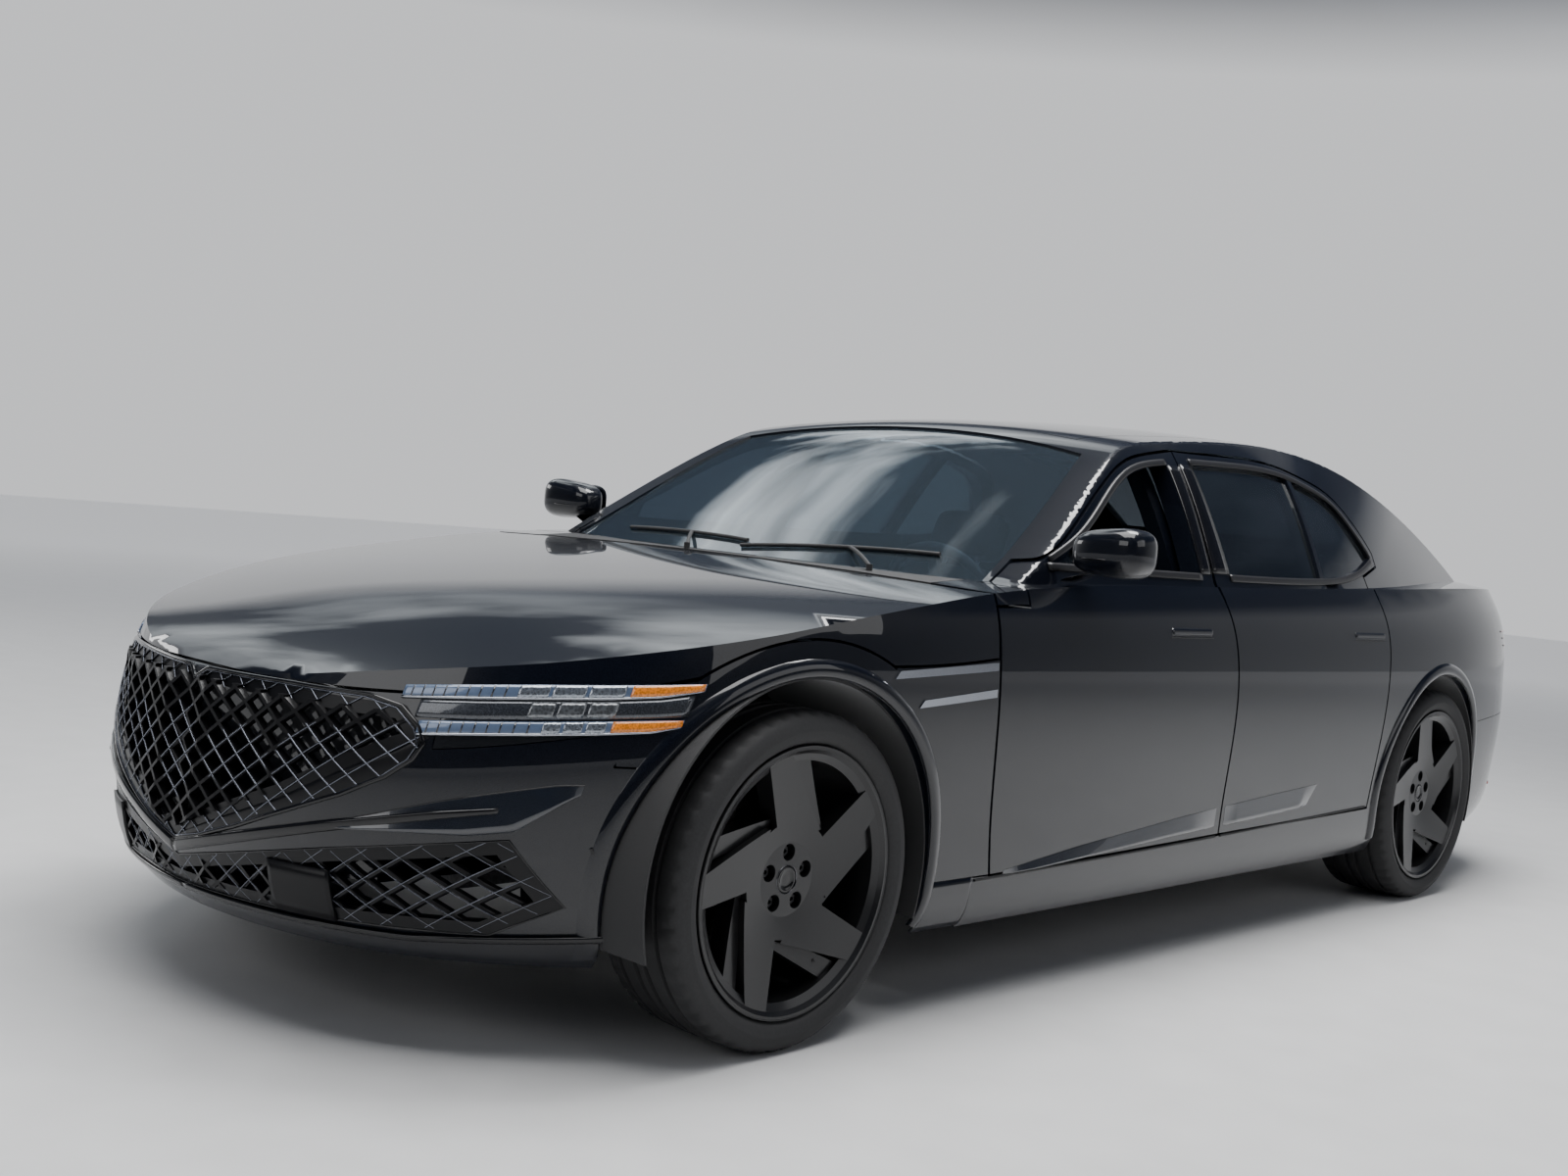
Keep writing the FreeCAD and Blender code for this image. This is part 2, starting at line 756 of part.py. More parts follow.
def tip_room():
    """Trim of the rear door's foremost corner at the belt, so the front door swings past it."""
    corners = [Vector(0, nose(y_share), up(z_share)) for y_share, z_share in tip_corners_share]
    return Part.Face(Part.makePolygon(corners + corners[:1])).extrude(Vector(width, 0, 0))


def door_axis(ys_share):
    return Vector(half_width - hinge_inset, nose(ys_share) + hinge_setback, 0)


def hinge_heights():
    return [up(share) for share in hinge_height_share]


def hinge_pocket(axis_point, z):
    """Room in a door for one hinge arm and its swing, with a bore above and below for the pin."""
    reach = door_thickness * 2
    room = box((axis_point.x - reach, axis_point.x + hinge_arm_half + run_clearance),
               (axis_point.y - reach, axis_point.y + hinge_arm_half + run_clearance),
               (z - hinge_height / 2 - run_clearance, z + hinge_height / 2 + run_clearance))
    half_pin = hinge_height / 2 + run_clearance + hinge_seat
    bore = rod(hinge_pin_radius + fit_clearance, Vector(axis_point.x, axis_point.y, z - half_pin),
               Vector(axis_point.x, axis_point.y, z + half_pin))
    return room.fuse(bore)


def hinge_arm(axis_point, z):
    """The pin and the arm that holds it, reaching out from the post behind the door."""
    half_pin = hinge_height / 2 + run_clearance + hinge_seat - fit_clearance
    pin = rod(hinge_pin_radius, Vector(axis_point.x, axis_point.y, z - half_pin),
              Vector(axis_point.x, axis_point.y, z + half_pin))
    eye = rod(hinge_arm_half, Vector(axis_point.x, axis_point.y, z - hinge_height / 2),
              Vector(axis_point.x, axis_point.y, z + hinge_height / 2))
    arm = box((half_width - post_inset - post_thickness / 2, axis_point.x),
              (axis_point.y - hinge_arm_half, axis_point.y + hinge_arm_half),
              (z - hinge_height / 2, z + hinge_height / 2))
    return pin.fuse(eye).fuse(arm)


def post(y_shares, top_share):
    """An inner post behind the doors, standing on the sill, with its top under the belt or the rail."""
    lean = half_width - post_inset
    low, high = nose(y_shares[0]), nose(y_shares[1])
    return box((lean - post_thickness, lean), (low, high), (floor_z - wall_plate, up(top_share)))


def structure():
    """Floors, firewall, bulkheads, posts, tunnel and sill boxes on the left half."""
    floor_side = half_width - post_inset
    rear_y = nose(boot_face_share)
    low_link, high_link = up(link_heights_share[0]), up(link_heights_share[1])
    wall_front, wall_rear = nose(bumper_wall_share[0]), nose(bumper_wall_share[1])
    rail_top = frame_rail_z + frame_rail_height
    pieces = [
        box((0, floor_side), (firewall_y - wall_plate, rear_frame_y), (floor_z - wall_plate, floor_z)),
        box((0, floor_side), (firewall_y - wall_plate, firewall_y), (floor_z, up(firewall_top_share))),
        box((0, tunnel_width / 2), (firewall_y - wall_plate, rear_frame_y),
            (floor_z, floor_z + tunnel_height)),
        box((0, well_wall_x), (rear_bulkhead_y - wall_plate, rear_bulkhead_y),
            (trunk_floor_z - wall_plate, up(shelf_share))),
        box((0, floor_side), (rear_frame_y - wall_plate, rear_frame_y), (floor_z, trunk_floor_z)),
        box((0, floor_side), (rear_frame_y - wall_plate, rear_bulkhead_y),
            (trunk_floor_z - wall_plate, trunk_floor_z)),
        box((0, well_wall_x), (rear_bulkhead_y - wall_plate, rear_y),
            (trunk_floor_z - wall_plate, trunk_floor_z)),
        box((well_wall_x - wall_plate, well_wall_x), (rear_bulkhead_y - wall_plate, rear_y),
            (trunk_floor_z, up(boot_top_share))),
        box((floor_side - post_thickness, across(sill_outer_share)),
            (nose(sill_ends_share[0]), nose(sill_ends_share[1])),
            (floor_z - wall_plate, up(sill_top_share))),
        post(front_post_share, front_post_top_share),
        post(middle_post_share, middle_post_top_share),
        box((floor_side - post_thickness, floor_side), (pillar_y, nose(middle_post_share[1])),
            (low_link, high_link)),
        box((floor_side - post_thickness, across(link_outer_share)), (pillar_y, pillar_y + pillar_length),
            (low_link, high_link)),
        upper_pillar(),
        box((0, well_wall_x), (rear_bulkhead_y - wall_plate, nose(shelf_rear_share)),
            (up(shelf_share) - wall_plate, up(shelf_share))),
        box((frame_rail_x, frame_rail_x + frame_rail_width), (wall_front, firewall_y),
            (frame_rail_z, rail_top)),
        box((0, frame_rail_x + frame_rail_width), (wall_front, wall_rear),
            (frame_rail_z, up(bumper_wall_top_share))),
    ]
    pieces.append(box((well_wall_x - wall_plate, well_wall_x), (nose(well_wall_front_share), rear_frame_y),
                      (floor_z - wall_plate, trunk_floor_z)))
    pieces.append(lift_eye(hood_hinge_x, hood_axis_y, hood_axis_z, hood_lift_drop,
                           firewall_y - wall_plate / 2))
    pieces.append(lift_eye(boot_hinge_x, boot_axis_y, boot_axis_z, boot_lift_drop, boot_bracket_y))
    half_eye = lift_eye_width / 2
    pieces.append(box((boot_hinge_x - half_eye, boot_hinge_x + half_eye),
                      (boot_bracket_y, boot_bracket_y + lift_foot),
                      (boot_axis_z - boot_lift_drop, boot_axis_z + lift_foot)))
    for ys_share in (front_door_axis_share, rear_door_axis_share):
        for z in hinge_heights():
            pieces.append(hinge_arm(door_axis(ys_share), z))
    return fuse_all(pieces).cut(ring_rod(rear_axle_y, rear_arch_radius, well_wall_x))


def underfloor():
    """Room under the floor for the exhaust and the rear axle, open from below."""
    tunnel = box((0, tunnel_width / 2 - wall_plate), (-half_length, rear_frame_end_y),
                 (0, floor_z + tunnel_height - wall_plate))
    axle_room = box((0, arch_inner_x), (rear_frame_y, rear_frame_end_y), (0, trunk_floor_z - wall_plate))
    return [tunnel, axle_room]


def upper_pillar():
    """The inner pillar between the side windows, from the middle post to the roof rail."""
    base = across(pillar_base_share)
    outer_line, inner_line = [], []
    steps = (pillar_foot_share,) + lean_shares[1:5] + (pillar_head_share,)
    for rise, lean in steps:
        part = (rise - steps[0][0]) / (steps[-1][0] - steps[0][0])
        x = base - across(lean) - pillar_foot_inset + (pillar_foot_inset - pillar_inset) * part
        outer_line.append(Vector(x, pillar_y, up(belt_share + rise)))
        inner_line.append(Vector(x - pillar_depth, pillar_y, up(belt_share + rise)))
    points = outer_line + inner_line[::-1]
    pillar = Part.Face(Part.makePolygon(points + points[:1])).extrude(Vector(0, pillar_length, 0))
    trim_x, trim_z = across(pillar_trim_share[0]), up(pillar_trim_share[1])
    return pillar.cut(box((0, trim_x), (-half_length, half_length), (trim_z, height)))


def fuse_all(shapes):
    shapes = list(shapes)
    return shapes[0].multiFuse(shapes[1:]) if len(shapes) > 1 else shapes[0]


def whole_of(half):
    """A half and its mirror image joined at the middle of the car."""
    return half.fuse(mirrored(half)).removeSplitter()


def tyre(section_width):
    """Tread, shoulders and sidewalls turned about the X axis, centred on the origin."""
    half_section = section_width / 2
    bead = half_section - rim_margin - (rim_radius - rim_seat_radius) - fit_clearance
    right = [(0, bead), (bead_height_share, bead)]
    right += [(radius_share, half_section * share) for radius_share, share in tyre_profile_share]
    side = tyre_radius - rim_seat_radius
    points = [Vector(x, 0, rim_seat_radius + side * share) for share, x in right]
    points += [Vector(-point.x, 0, point.z) for point in reversed(points)]
    return Part.Face(Part.makePolygon(points + points[:1])).revolve(Vector(), Vector(1, 0, 0), 360)


def polar(radius, degrees):
    """A point on the wheel's face, turned clockwise from the top as seen from outside on the left."""
    angle = math.radians(degrees)
    return Vector(0, radius * math.sin(angle), radius * math.cos(angle))


def star_piece(corners, near, far):
    face = Part.Face(Part.makePolygon([polar(*pair) for pair in corners + corners[:1]]))
    face.translate(Vector(near, 0, 0))
    return face.extrude(Vector(far - near, 0, 0))


def revolve_x(pairs):
    """A solid turned about X from pairs of x and radius."""
    points = [Vector(x, 0, radius) for x, radius in pairs]
    return Part.Face(Part.makePolygon(points + points[:1])).revolve(Vector(), Vector(1, 0, 0), 360)


def rim(section_width):
    """Barrel, five-armed star with its set-back blades, hub, lug holes and brake disc."""
    half_rim = section_width / 2 - rim_margin
    lip = rim_radius - rim_seat_radius
    barrel = revolve_x([
        (-half_rim, rim_radius), (-half_rim, barrel_radius), (half_rim - lip, barrel_radius),
        (half_rim - lip / 2, rim_radius - lip), (half_rim, rim_radius - lip / 2), (half_rim, rim_radius),
        (half_rim - lip / 2, rim_radius), (half_rim - lip, rim_seat_radius - fit_clearance),
        (lip - half_rim, rim_seat_radius - fit_clearance), (lip / 2 - half_rim, rim_radius),
    ])
    face_x = half_rim - lip / 2
    back_x = face_x - hub_recess - spoke_depth
    dish = revolve_x([(face_x - hub_recess, 0), (face_x - hub_recess, hub_radius), (face_x, rim_seat_radius),
                      (face_x - spoke_depth, rim_seat_radius), (back_x, hub_radius), (back_x, 0)])
    low_dish = dish.copy()
    low_dish.translate(Vector(-blade_recess, 0, 0))
    arms = [rod(star_centre_radius, Vector(face_x - spoke_depth * 3, 0, 0), Vector(face_x, 0, 0))]
    blades = []
    for index in range(spoke_count):
        turn = 360 / spoke_count * index + arm_lean
        arm = [(radius * rim_seat_radius, angle + turn) for radius, angle in arm_corner_shares]
        blade = [(radius * rim_seat_radius, angle + turn) for radius, angle in blade_corner_shares]
        arms.append(star_piece(arm, -section_width, section_width))
        blades.append(star_piece(blade, -section_width, section_width))
    star = fuse_all(arms).common(dish).fuse(fuse_all(blades).common(low_dish))
    disc_x = -disc_inset
    hub_face = face_x - hub_recess - lug_hole_depth / 2
    hub = rod(hub_radius, Vector(disc_x - disc_thickness, 0, 0), Vector(hub_face, 0, 0))
    disc = rod(disc_radius, Vector(disc_x - disc_thickness, 0, 0), Vector(disc_x, 0, 0))
    whole = barrel.fuse(star).fuse(hub).fuse(disc)
    face_plane = face_x - hub_recess
    holes = []
    for index in range(spoke_count):
        centre = polar(lug_circle_radius, 360 / spoke_count * index)
        holes.append(rod(lug_hole_radius, centre + Vector(face_plane - lug_hole_depth, 0, 0),
                         centre + Vector(face_plane + spoke_depth, 0, 0)))
    cap_cut = rod(cap_radius, Vector(face_plane - cap_depth, 0, 0), Vector(face_plane + spoke_depth, 0, 0))
    bore_end = disc_x - disc_thickness
    bore = rod(spindle_radius + fit_clearance, Vector(bore_end - overrun, 0, 0),
               Vector(bore_end + spindle_depth, 0, 0))
    whole = whole.cut(holes + [cap_cut, bore])
    cap = rod(cap_radius, Vector(face_plane - cap_depth, 0, 0), Vector(face_plane - cap_depth / 4, 0, 0))
    return solid_of(whole.fuse(cap))


def placed_wheel(shape, axle_y, track, side):
    """A wheel piece at its axle; the right-hand ones are the same casting turned around."""
    wheel = shape.copy()
    if side < 0:
        wheel.rotate(Vector(), Vector(0, 0, 1), 180)
    wheel.translate(Vector(side * track / 2, axle_y, tyre_radius))
    return wheel


def spindle(track):
    """The stub that a left-hand wheel turns on, from the knuckle's face into the hub."""
    end_x = track / 2 - disc_inset - disc_thickness + spindle_depth - fit_clearance
    return rod(spindle_radius, Vector(steer_axis_x, 0, tyre_radius), Vector(end_x, 0, tyre_radius))


def knuckle(track, axle_y):
    """The left upright with its spindle and brake caliper, bored for the steering pins."""
    half_thick = knuckle_thickness / 2
    upright = box((steer_axis_x - half_thick, steer_axis_x + half_thick),
                  (-knuckle_thickness, knuckle_thickness),
                  (lower_arm_z + arm_height / 2 + pin_gap, upper_arm_z - arm_height / 2 - pin_gap))
    disc_outer = track / 2 - disc_inset
    disc_inner = disc_outer - disc_thickness
    caliper = box((steer_axis_x - half_thick, disc_outer + run_clearance + caliper_wall),
                  (caliper_offset, caliper_offset + caliper_length),
                  (tyre_radius - caliper_height / 2, tyre_radius + caliper_height / 2))
    slot = rod(disc_radius + run_clearance, Vector(disc_inner - run_clearance, 0, tyre_radius),
               Vector(disc_outer + run_clearance, 0, tyre_radius))
    bridge = box((steer_axis_x - half_thick, steer_axis_x), (0, caliper_offset + caliper_length / 2),
                 (tyre_radius - knuckle_thickness, tyre_radius + knuckle_thickness))
    caliper = caliper.common(rod(barrel_radius - run_clearance, Vector(0, 0, tyre_radius),
                                 Vector(width, 0, tyre_radius)))
    body = upright.fuse(spindle(track)).fuse(caliper.cut(slot)).fuse(bridge)
    pin = rod(steer_pin_radius + fit_clearance, Vector(steer_axis_x, 0, 0), Vector(steer_axis_x, 0, height))
    middle = rod(steer_pin_radius * 2, Vector(steer_axis_x, 0, tyre_radius - spindle_radius),
                 Vector(steer_axis_x, 0, tyre_radius + spindle_radius))
    body = body.cut(pin).fuse(middle)
    body.translate(Vector(0, axle_y, 0))
    return solid_of(body)


def control_arm(z, axle_y, pinned):
    """A forked arm from the frame out to the steering axis, with a pin stub if it is steered."""
    tip = Vector(steer_axis_x, axle_y, z)
    inner = frame_rail_x
    half_arm = arm_width / 2
    points = [Vector(inner, axle_y - arm_spread, z), Vector(inner, axle_y + arm_spread, z),
              Vector(steer_axis_x, axle_y + half_arm, z), Vector(steer_axis_x, axle_y - half_arm, z)]
    face = Part.Face(Part.makePolygon(points + points[:1]))
    plate = face.extrude(Vector(0, 0, arm_height))
    plate.translate(Vector(0, 0, -arm_height / 2))
    hole = [Vector(inner + arm_width, axle_y - arm_spread + arm_width, z - arm_height),
            Vector(inner + arm_width, axle_y + arm_spread - arm_width, z - arm_height),
            Vector(steer_axis_x - arm_width * 1.5, axle_y, z - arm_height)]
    window = Part.Face(Part.makePolygon(hole + hole[:1])).extrude(Vector(0, 0, arm_height * 2))
    arm = plate.cut(window).fuse(rod(arm_width / 2, tip - Vector(0, 0, arm_height / 2),
                                     tip + Vector(0, 0, arm_height / 2)))
    if pinned:
        toward = 1 if z < tyre_radius else -1
        reach = Vector(0, 0, toward * (arm_height / 2 + pin_gap + pin_reach))
        arm = arm.fuse(rod(steer_pin_radius, tip, tip + reach))
    return arm


def axle_frame(axle_y, track, pinned):
    """Cross member, frame ends and control arms on the left half of one axle."""
    beam = box((0, frame_rail_x + arm_width / 2), (axle_y - arm_width, axle_y + arm_width),
               (lower_arm_z - arm_height / 2, lower_arm_z + arm_height))
    tower = box((frame_rail_x - arm_width / 2, frame_rail_x),
                (axle_y - arm_spread, axle_y + arm_spread),
                (lower_arm_z - arm_height / 2, upper_arm_z + arm_height / 2))
    pieces = [beam, tower]
    pieces += [control_arm(z, axle_y, pinned) for z in (lower_arm_z, upper_arm_z)]
    if not pinned:
        foot = Vector(steer_axis_x, axle_y, lower_arm_z)
        link = rod(steer_pin_radius, foot, Vector(steer_axis_x, axle_y, upper_arm_z))
        pieces += [knuckle(track, axle_y), link]
    return fuse_all(pieces)


def front_prism(corners, distance=0.0):
    """An outline on the nose, both halves, carried back from the front of the car."""
    points = [Vector(across(x), -length, up(z)) for x, z in corners]
    points += [Vector(-point.x, point.y, point.z) for point in reversed(points[1:-1])]
    face = Part.Face(Part.makePolygon(points + points[:1]))
    if distance:
        face = Part.Face(face.makeOffset2D(distance).Wires[0])
    return face.extrude(Vector(0, length - half_length * nose_depth_share, 0))


def level_at(z_share):
    """The width share and nose set-back at a height, between the two nearest levels."""
    for below, above in zip(level_shares, level_shares[1:]):
        if below[0] <= z_share <= above[0]:
            part = (z_share - below[0]) / (above[0] - below[0])
            return below[1] + (above[1] - below[1]) * part, below[2] + (above[2] - below[2]) * part
    return level_shares[0][1], level_shares[0][2]


def nose_y(x, z_share):
    """Where the nose's surface is at a place across and a height, read between the table's points."""
    width_share, set_back = level_at(z_share)
    share = min(abs(x) / (half_width * width_share), nose_plan_shares[-1][0])
    for near, far in zip(nose_plan_shares, nose_plan_shares[1:]):
        if near[0] <= share <= far[0]:
            part = (share - near[0]) / (far[0] - near[0])
            rounding = part * (1 - part) * (far[0] - near[0]) ** 2 * nose_rounding_share
            return -half_length + half_length * (set_back + near[1] + (far[1] - near[1]) * part - rounding)
    return -half_length


def lattice(corners):
    """Diamond openings in a thin faceted wall inside the nose, for the left half of a grille."""
    low, high = min(z for _, z in corners), max(z for _, z in corners)
    span = max(across(x) for x, _ in corners)
    front, back = [], []
    for step in range(mesh_steps + 1):
        x = span * step / mesh_steps
        y = nose_y(x, (low + high) / 2) + mesh_inset
        front.append(Vector(x, y, 0))
        back.append(Vector(x, y + mesh_thickness, 0))
    lean = nose_y(0, high) - nose_y(0, low)
    points = front + back[::-1]
    wall = Part.Face(Part.makePolygon(points + points[:1]))
    wall.translate(Vector(0, -lean / 2, up(low)))
    wall = wall.extrude(Vector(0, lean, up(high) - up(low)))
    wall = wall.common(front_prism(corners, -grille_frame / 2))
    half_wide = grille_pitch / 2
    half_tall = half_wide / math.tan(math.radians(lattice_lean))
    thin = 1 - grille_bar / (grille_pitch * math.cos(math.radians(lattice_lean)))
    middle = (up(low) + up(high)) / 2
    holes = []
    columns = int(span / half_wide) + 1
    rows = int((up(high) - up(low)) / half_tall / 2) + 2
    for column in range(-1, columns + 1):
        for row in range(-rows, rows + 1):
            if (column + row) % 2:
                continue
            x, z = column * half_wide, middle + row * half_tall
            points = [Vector(x - half_wide * thin, -length, z), Vector(x, -length, z + half_tall * thin),
                      Vector(x + half_wide * thin, -length, z), Vector(x, -length, z - half_tall * thin)]
            holes.append(Part.Face(Part.makePolygon(points + points[:1])).extrude(Vector(0, length, 0)))
    return wall.cut(holes)


def nose_frame(corners, band, walls):
    """A frame around an opening of the nose, as deep as the bumper's wall."""
    ring = front_prism(corners, -fit_clearance).cut(front_prism(corners, -band))
    return walls.common(ring)


def lift_eye(x, y, z, drop, foot_end):
    """An eye for a lifting panel's pin on a thin plate that goes down, then along to the body."""
    half = lift_eye_width / 2
    eye = rod(lift_eye_radius, Vector(x - half, y, z), Vector(x + half, y, z))
    plate = box((x - half, x + half), (y - lift_plate_half, y + lift_plate_half), (z - drop, z))
    foot_ys = (min(y - lift_plate_half, foot_end), max(y + lift_plate_half, foot_end))
    foot = box((x - half, x + half), foot_ys, (z - drop, z - drop + lift_foot))
    hole = rod(lift_pin_radius + fit_clearance, Vector(x - half * 2, y, z), Vector(x + half * 2, y, z))
    return eye.fuse(plate).fuse(foot).cut(hole)


def lift_pin(x, y, z):
    half_pin = lift_eye_width / 2 + run_clearance + lift_pin_seat
    pin = rod(lift_pin_radius, Vector(x - half_pin, y, z), Vector(x + half_pin, y, z))
    low, high = (lift_pin_radius * share for share in lift_block_shares)
    walls = []
    for side in (-1, 1):
        near = x + side * (lift_eye_width / 2 + run_clearance)
        far = x + side * half_pin
        walls.append(box((min(near, far), max(near, far)), (y - low, y + low), (z - low, z + high)))
    return fuse_all([pin] + walls)


def lift_pocket(x, y, z, way):
    """Room around a lifting panel's hinge, open towards the edge of the panel nearest to it."""
    half_room = lift_eye_width / 2 + run_clearance
    radius = lift_eye_radius + lift_room
    round_room = rod(radius, Vector(x - half_room, y, z), Vector(x + half_room, y, z))
    far = y + way * overrun / 4
    slot = box((x - half_room, x + half_room), (min(y, far), max(y, far)), (z - overrun / 4, z + radius))
    return round_room.fuse(slot)


def rounded(shape, radius):
    """All edges of a soft or moulded block rounded as far as its smallest side allows."""
    bounds = shape.BoundBox
    most = min(bounds.XLength, bounds.YLength, bounds.ZLength) * round_limit_share
    return shape.makeFillet(min(radius, most), shape.Edges)


def leaning(shape, y, z, degrees):
    tilted = shape.copy()
    tilted.rotate(Vector(0, y, z), Vector(1, 0, 0), -degrees)
    return tilted


def front_seat():
    """Cushion, back and headrest of the left front seat, on its base."""
    y = front_seat_y
    half = seat_width / 2
    cushion = rounded(box((seat_x - half, seat_x + half), (y, y + seat_cushion_length),
                          (seat_base_z, seat_base_z + seat_cushion_height)), soft_radius)
    foot_y = y + seat_cushion_length - seat_back_thickness / 2
    foot_z = seat_base_z + seat_cushion_height / 2
    back = rounded(box((seat_x - half, seat_x + half), (foot_y, foot_y + seat_back_thickness),
                       (foot_z, foot_z + seat_back_height)), soft_radius)
    rest_z = foot_z + seat_back_height + headrest_gap
    rest_y = foot_y + (seat_back_thickness - headrest_thickness) / 2
    rest = rounded(box((seat_x - headrest_width / 2, seat_x + headrest_width / 2),
                       (rest_y, rest_y + headrest_thickness),
                       (rest_z, rest_z + headrest_height)), soft_radius)
    posts = []
    for side in (-1, 1):
        x = seat_x + side * headrest_width / 4
        mid = rest_y + headrest_thickness / 2
        posts.append(rod(headrest_post_radius, Vector(x, mid, rest_z - headrest_gap * 2),
                         Vector(x, mid, rest_z + headrest_gap)))
    upper = leaning(fuse_all([back, rest] + posts), foot_y, foot_z, seat_back_lean)
    base_half = half * seat_base_shares[0]
    base = box((seat_x - base_half, seat_x + base_half),
               (y + soft_radius, y + seat_cushion_length * seat_base_shares[1]),
               (floor_z, seat_base_z + soft_radius))
    return solid_of(fuse_all([cushion, upper, base]))


def rear_bench():
    half = bench_width / 2
    y = bench_y
    cushion = rounded(box((-half, half), (y, y + bench_cushion_length),
                          (seat_base_z, seat_base_z + seat_cushion_height)), soft_radius)
    foot_y = y + bench_cushion_length - seat_back_thickness / 2
    foot_z = seat_base_z + seat_cushion_height / 2
    back = rounded(box((-half, half), (foot_y, foot_y + seat_back_thickness),
                       (foot_z, foot_z + seat_back_height * bench_back_share)), soft_radius)
    rests = []
    rest_z = foot_z + seat_back_height * bench_back_share - soft_radius / 2
    for side in (-1, 1):
        x = side * seat_x
        rests.append(rounded(box((x - headrest_width / 2, x + headrest_width / 2),
                                 (foot_y + soft_radius / 2, foot_y + soft_radius / 2 + headrest_thickness),
                                 (rest_z, rest_z + headrest_height * bench_rest_share)), soft_radius))
    base_share = seat_base_shares[1]
    base = box((-half * base_share, half * base_share),
               (y + soft_radius, y + bench_cushion_length * base_share),
               (floor_z, seat_base_z + soft_radius))
    upper = leaning(fuse_all([back] + rests), foot_y, foot_z, bench_lean)
    whole = fuse_all([cushion, base, upper])
    tunnel = box((-tunnel_width / 2, tunnel_width / 2), (-half_length, half_length),
                 (0, floor_z + tunnel_height))
    return solid_of(whole.cut(tunnel))


def dashboard():
    depth = dash_rear_y - dash_front_y
    tall = dash_top_z - dash_bottom_z
    points = [Vector(0, dash_front_y + depth * y, dash_bottom_z + tall * z) for y, z in dash_profile_share]
    block = Part.Face(Part.makePolygon(points + points[:1])).extrude(Vector(dash_width, 0, 0))
    block.translate(Vector(-dash_width / 2, 0, 0))
    ends = [edge for edge in block.Edges if edge.BoundBox.XLength > dash_width / 2]
    return block.makeFillet(dash_radius / 3, ends)


def steering_wheel():
    """Rim, boss, three spokes and column, tilted towards the driver."""
    centre = Vector(*steering_centre)
    ring = Part.makeTorus(steering_wheel_radius, steering_rim_radius, centre, Vector(0, 0, 1))
    boss = rod(steering_boss_radius, centre - Vector(0, 0, steering_boss_depth), centre)
    pieces = [ring, boss]
    for degrees in (0, 180, 270):
        spoke = box((0, steering_wheel_radius), (-steering_rim_radius, steering_rim_radius),
                    (-steering_rim_radius, 0))
        spoke.rotate(Vector(), Vector(0, 0, 1), degrees)
        spoke.translate(centre)
        pieces.append(spoke)
    column_top = centre - Vector(0, 0, steering_rim_radius)
    pieces.append(rod(column_radius, centre - Vector(0, 0, column_length), column_top))
    whole = fuse_all(pieces)
    whole.rotate(centre, Vector(1, 0, 0), -steering_tilt)
    return solid_of(whole)


def mirror():
    """The left door mirror's housing and its arm down to the door."""
    x, y, z = mirror_centre
    shell = rounded(box((x - mirror_length / 2, x + mirror_length / 2),
                        (y - mirror_depth / 2, y + mirror_depth / 2),
                        (z - mirror_height / 2, z + mirror_height / 2)), mirror_radius)
    arm_end = Vector(x - mirror_length / 4, y, z - mirror_height / 4)
    arm = rod(mirror_foot_radius, Vector(*mirror_foot), arm_end)
    return shell.fuse(arm)


def side_x(body, y, z):
    """How far out a body reaches at one place along its side."""
    return Part.makeLine(Vector(0, y, z), Vector(width, y, z)).common(body).BoundBox.XMax


def height_on(face, x, y):
    line = Part.makeLine(Vector(x, y, 0), Vector(x, y, height * 2))
    return line.distToShape(face)[1][0][0].z


def handle(y, skin):
    outer_x = min(side_x(skin, y, handle_z), side_x(skin, y + handle_length, handle_z)) + handle_proud
    bar = box((outer_x - handle_height, outer_x), (y, y + handle_length),
              (handle_z - handle_height / 2, handle_z + handle_height / 2))
    return rounded(bar, handle_height * handle_round_share)


def polygon_sides(points):
    return tuple((points[i], points[(i + 1) % len(points)]) for i in range(len(points)))


def tube(points, radius):
    """A round bar along a smooth path through a few points."""
    path = Part.Wire([spline_edge(points)])
    way = points[1] - points[0]
    ring = Part.Wire([Part.Circle(points[0], way, radius).toShape()])
    return path.makePipeShell([ring], True, True)


def wipers(glass_face, deck_face):
    """Pivot, arm and blade of both wipers; the blades lie on the windshield."""
    pieces = []
    for pivot, elbow, near, far in wiper_shares:
        def on_glass(x_share, y_share):
            x, y = across(x_share), nose(y_share)
            return Vector(x, y, height_on(glass_face, x, y) + wiper_radius + wiper_lift)

        x, y = across(pivot[0]), nose(pivot[1])
        deck = height_on(deck_face, x, y)
        start = Vector(x, y, deck + wiper_radius * 2)
        end = on_glass(*elbow)
        middle = (start + end) / 2 + Vector(0, 0, wiper_radius)
        pieces.append(tube([start, middle, end], wiper_radius))
        pieces.append(rod(wiper_radius * 1.5, Vector(x, y, deck - skin_thickness / 2),
                          start + Vector(0, 0, wiper_radius)))
        points = []
        for step in range(wiper_points):
            share = step / (wiper_points - 1)
            place = [start + (end - start) * share for start, end in zip(near, far)]
            points.append(on_glass(*place))
        pieces.append(tube(points, wiper_radius))
    return pieces


def liner(axle_y, radius):
    """A thin half ring above one left-hand wheel, against the arch's edge."""
    ring = ring_rod(axle_y, radius, well_wall_x).cut(ring_rod(axle_y, radius - liner_thickness))
    upper = box((well_wall_x, across(liner_outer_share)), (-half_length, half_length), (floor_z, height))
    return ring.common(upper)


